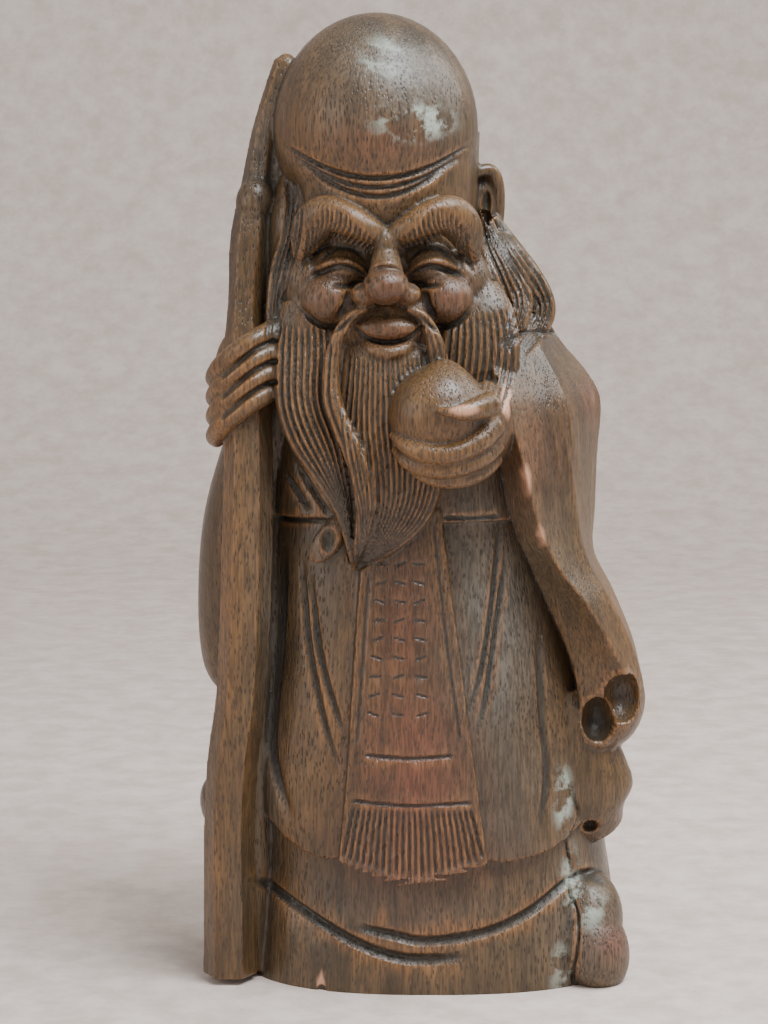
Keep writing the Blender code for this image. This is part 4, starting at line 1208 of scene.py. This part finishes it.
def backdrop():
    outline = [(-FLOOR_REACH, 0.0)]
    for i in range(BEND_STEPS + 1):
        turn = math.radians(90 * i / BEND_STEPS)
        outline.append((FLOOR_REACH - BACKDROP_BEND + BACKDROP_BEND * math.sin(turn),
                        BACKDROP_BEND - BACKDROP_BEND * math.cos(turn)))
    outline.append((FLOOR_REACH, BACKDROP_RISE))
    points = [(x, y, z) for y, z in outline for x in (-FLOOR_HALF_WIDTH, FLOOR_HALF_WIDTH)]
    faces = [(2 * i, 2 * i + 1, 2 * i + 3, 2 * i + 2) for i in range(len(outline) - 1)]
    mesh = bpy.data.meshes.new("backdrop")
    mesh.from_pydata(points, [], faces)
    mesh.shade_smooth()
    obj = bpy.data.objects.new("backdrop", mesh)
    bpy.context.scene.collection.objects.link(obj)
    material = bpy.data.materials.new("pale_floor")
    material.use_nodes = True
    tree = material.node_tree
    shader = tree.nodes["Principled BSDF"]
    place = add_node(tree, "ShaderNodeTexCoord").outputs["Object"]
    mottle = ranged(tree, noise(tree, place, 70.0, 6.0, 0.7), 0.3, 0.7)
    colour = mixed(tree, mottle, PALE_FLOOR, PALER_FLOOR)
    tree.links.new(colour, shader.inputs["Base Color"])
    shader.inputs["Roughness"].default_value = 0.75
    mesh.materials.append(material)
    return obj


backdrop()


# The light and the camera.
# A big cool window light from above and the right, a dim warm one from the left, and a pale room.
# A long lens looks slightly down on the figure, as the photograph does.

LIT_POINT = Vector((0, 0, 0.14))


def soft_light(name, place, size, power, colour):
    lamp = bpy.data.lights.new(name, "AREA")
    lamp.shape = "SQUARE"
    lamp.size = size
    lamp.energy = power
    lamp.color = colour
    obj = bpy.data.objects.new(name, lamp)
    bpy.context.scene.collection.objects.link(obj)
    obj.location = place
    obj.rotation_mode = "QUATERNION"
    obj.rotation_quaternion = (LIT_POINT - Vector(place)).to_track_quat("-Z", "Y")


soft_light("window", (0.34, -0.34, 0.92), size=0.5, power=15.0, colour=(0.92, 0.96, 1.0))
soft_light("room", (-0.8, -0.5, 0.35), size=0.6, power=2.5, colour=(1.0, 0.94, 0.86))
soft_light("rim", (0.6, 0.2, 0.6), size=0.4, power=3.0, colour=(1.0, 0.98, 0.95))

world = bpy.data.worlds.new("room_light")
world.use_nodes = True
world.node_tree.nodes["Background"].inputs["Color"].default_value = (0.92, 0.94, 1.0, 1.0)
world.node_tree.nodes["Background"].inputs["Strength"].default_value = 0.55
bpy.context.scene.world = world

VIEW_DOWN = math.radians(8)
VIEW_DISTANCE = 3200 * MIL
PIXELS_OF_LENS = 3035
PICTURE_LONG_SIDE = 1024
LOOKED_AT = (-34, 0, 480)

camera = bpy.data.cameras.new("camera")
camera.sensor_width = 36.0
camera.lens = camera.sensor_width * PIXELS_OF_LENS / PICTURE_LONG_SIDE
camera_object = bpy.data.objects.new("camera", camera)
bpy.context.scene.collection.objects.link(camera_object)
outward = Vector((0, -math.cos(VIEW_DOWN), math.sin(VIEW_DOWN)))
camera_object.location = in_frame(LOOKED_AT) + outward * VIEW_DISTANCE
camera_object.rotation_mode = "QUATERNION"
camera_object.rotation_quaternion = (-outward).to_track_quat("-Z", "Y")
bpy.context.scene.camera = camera_object
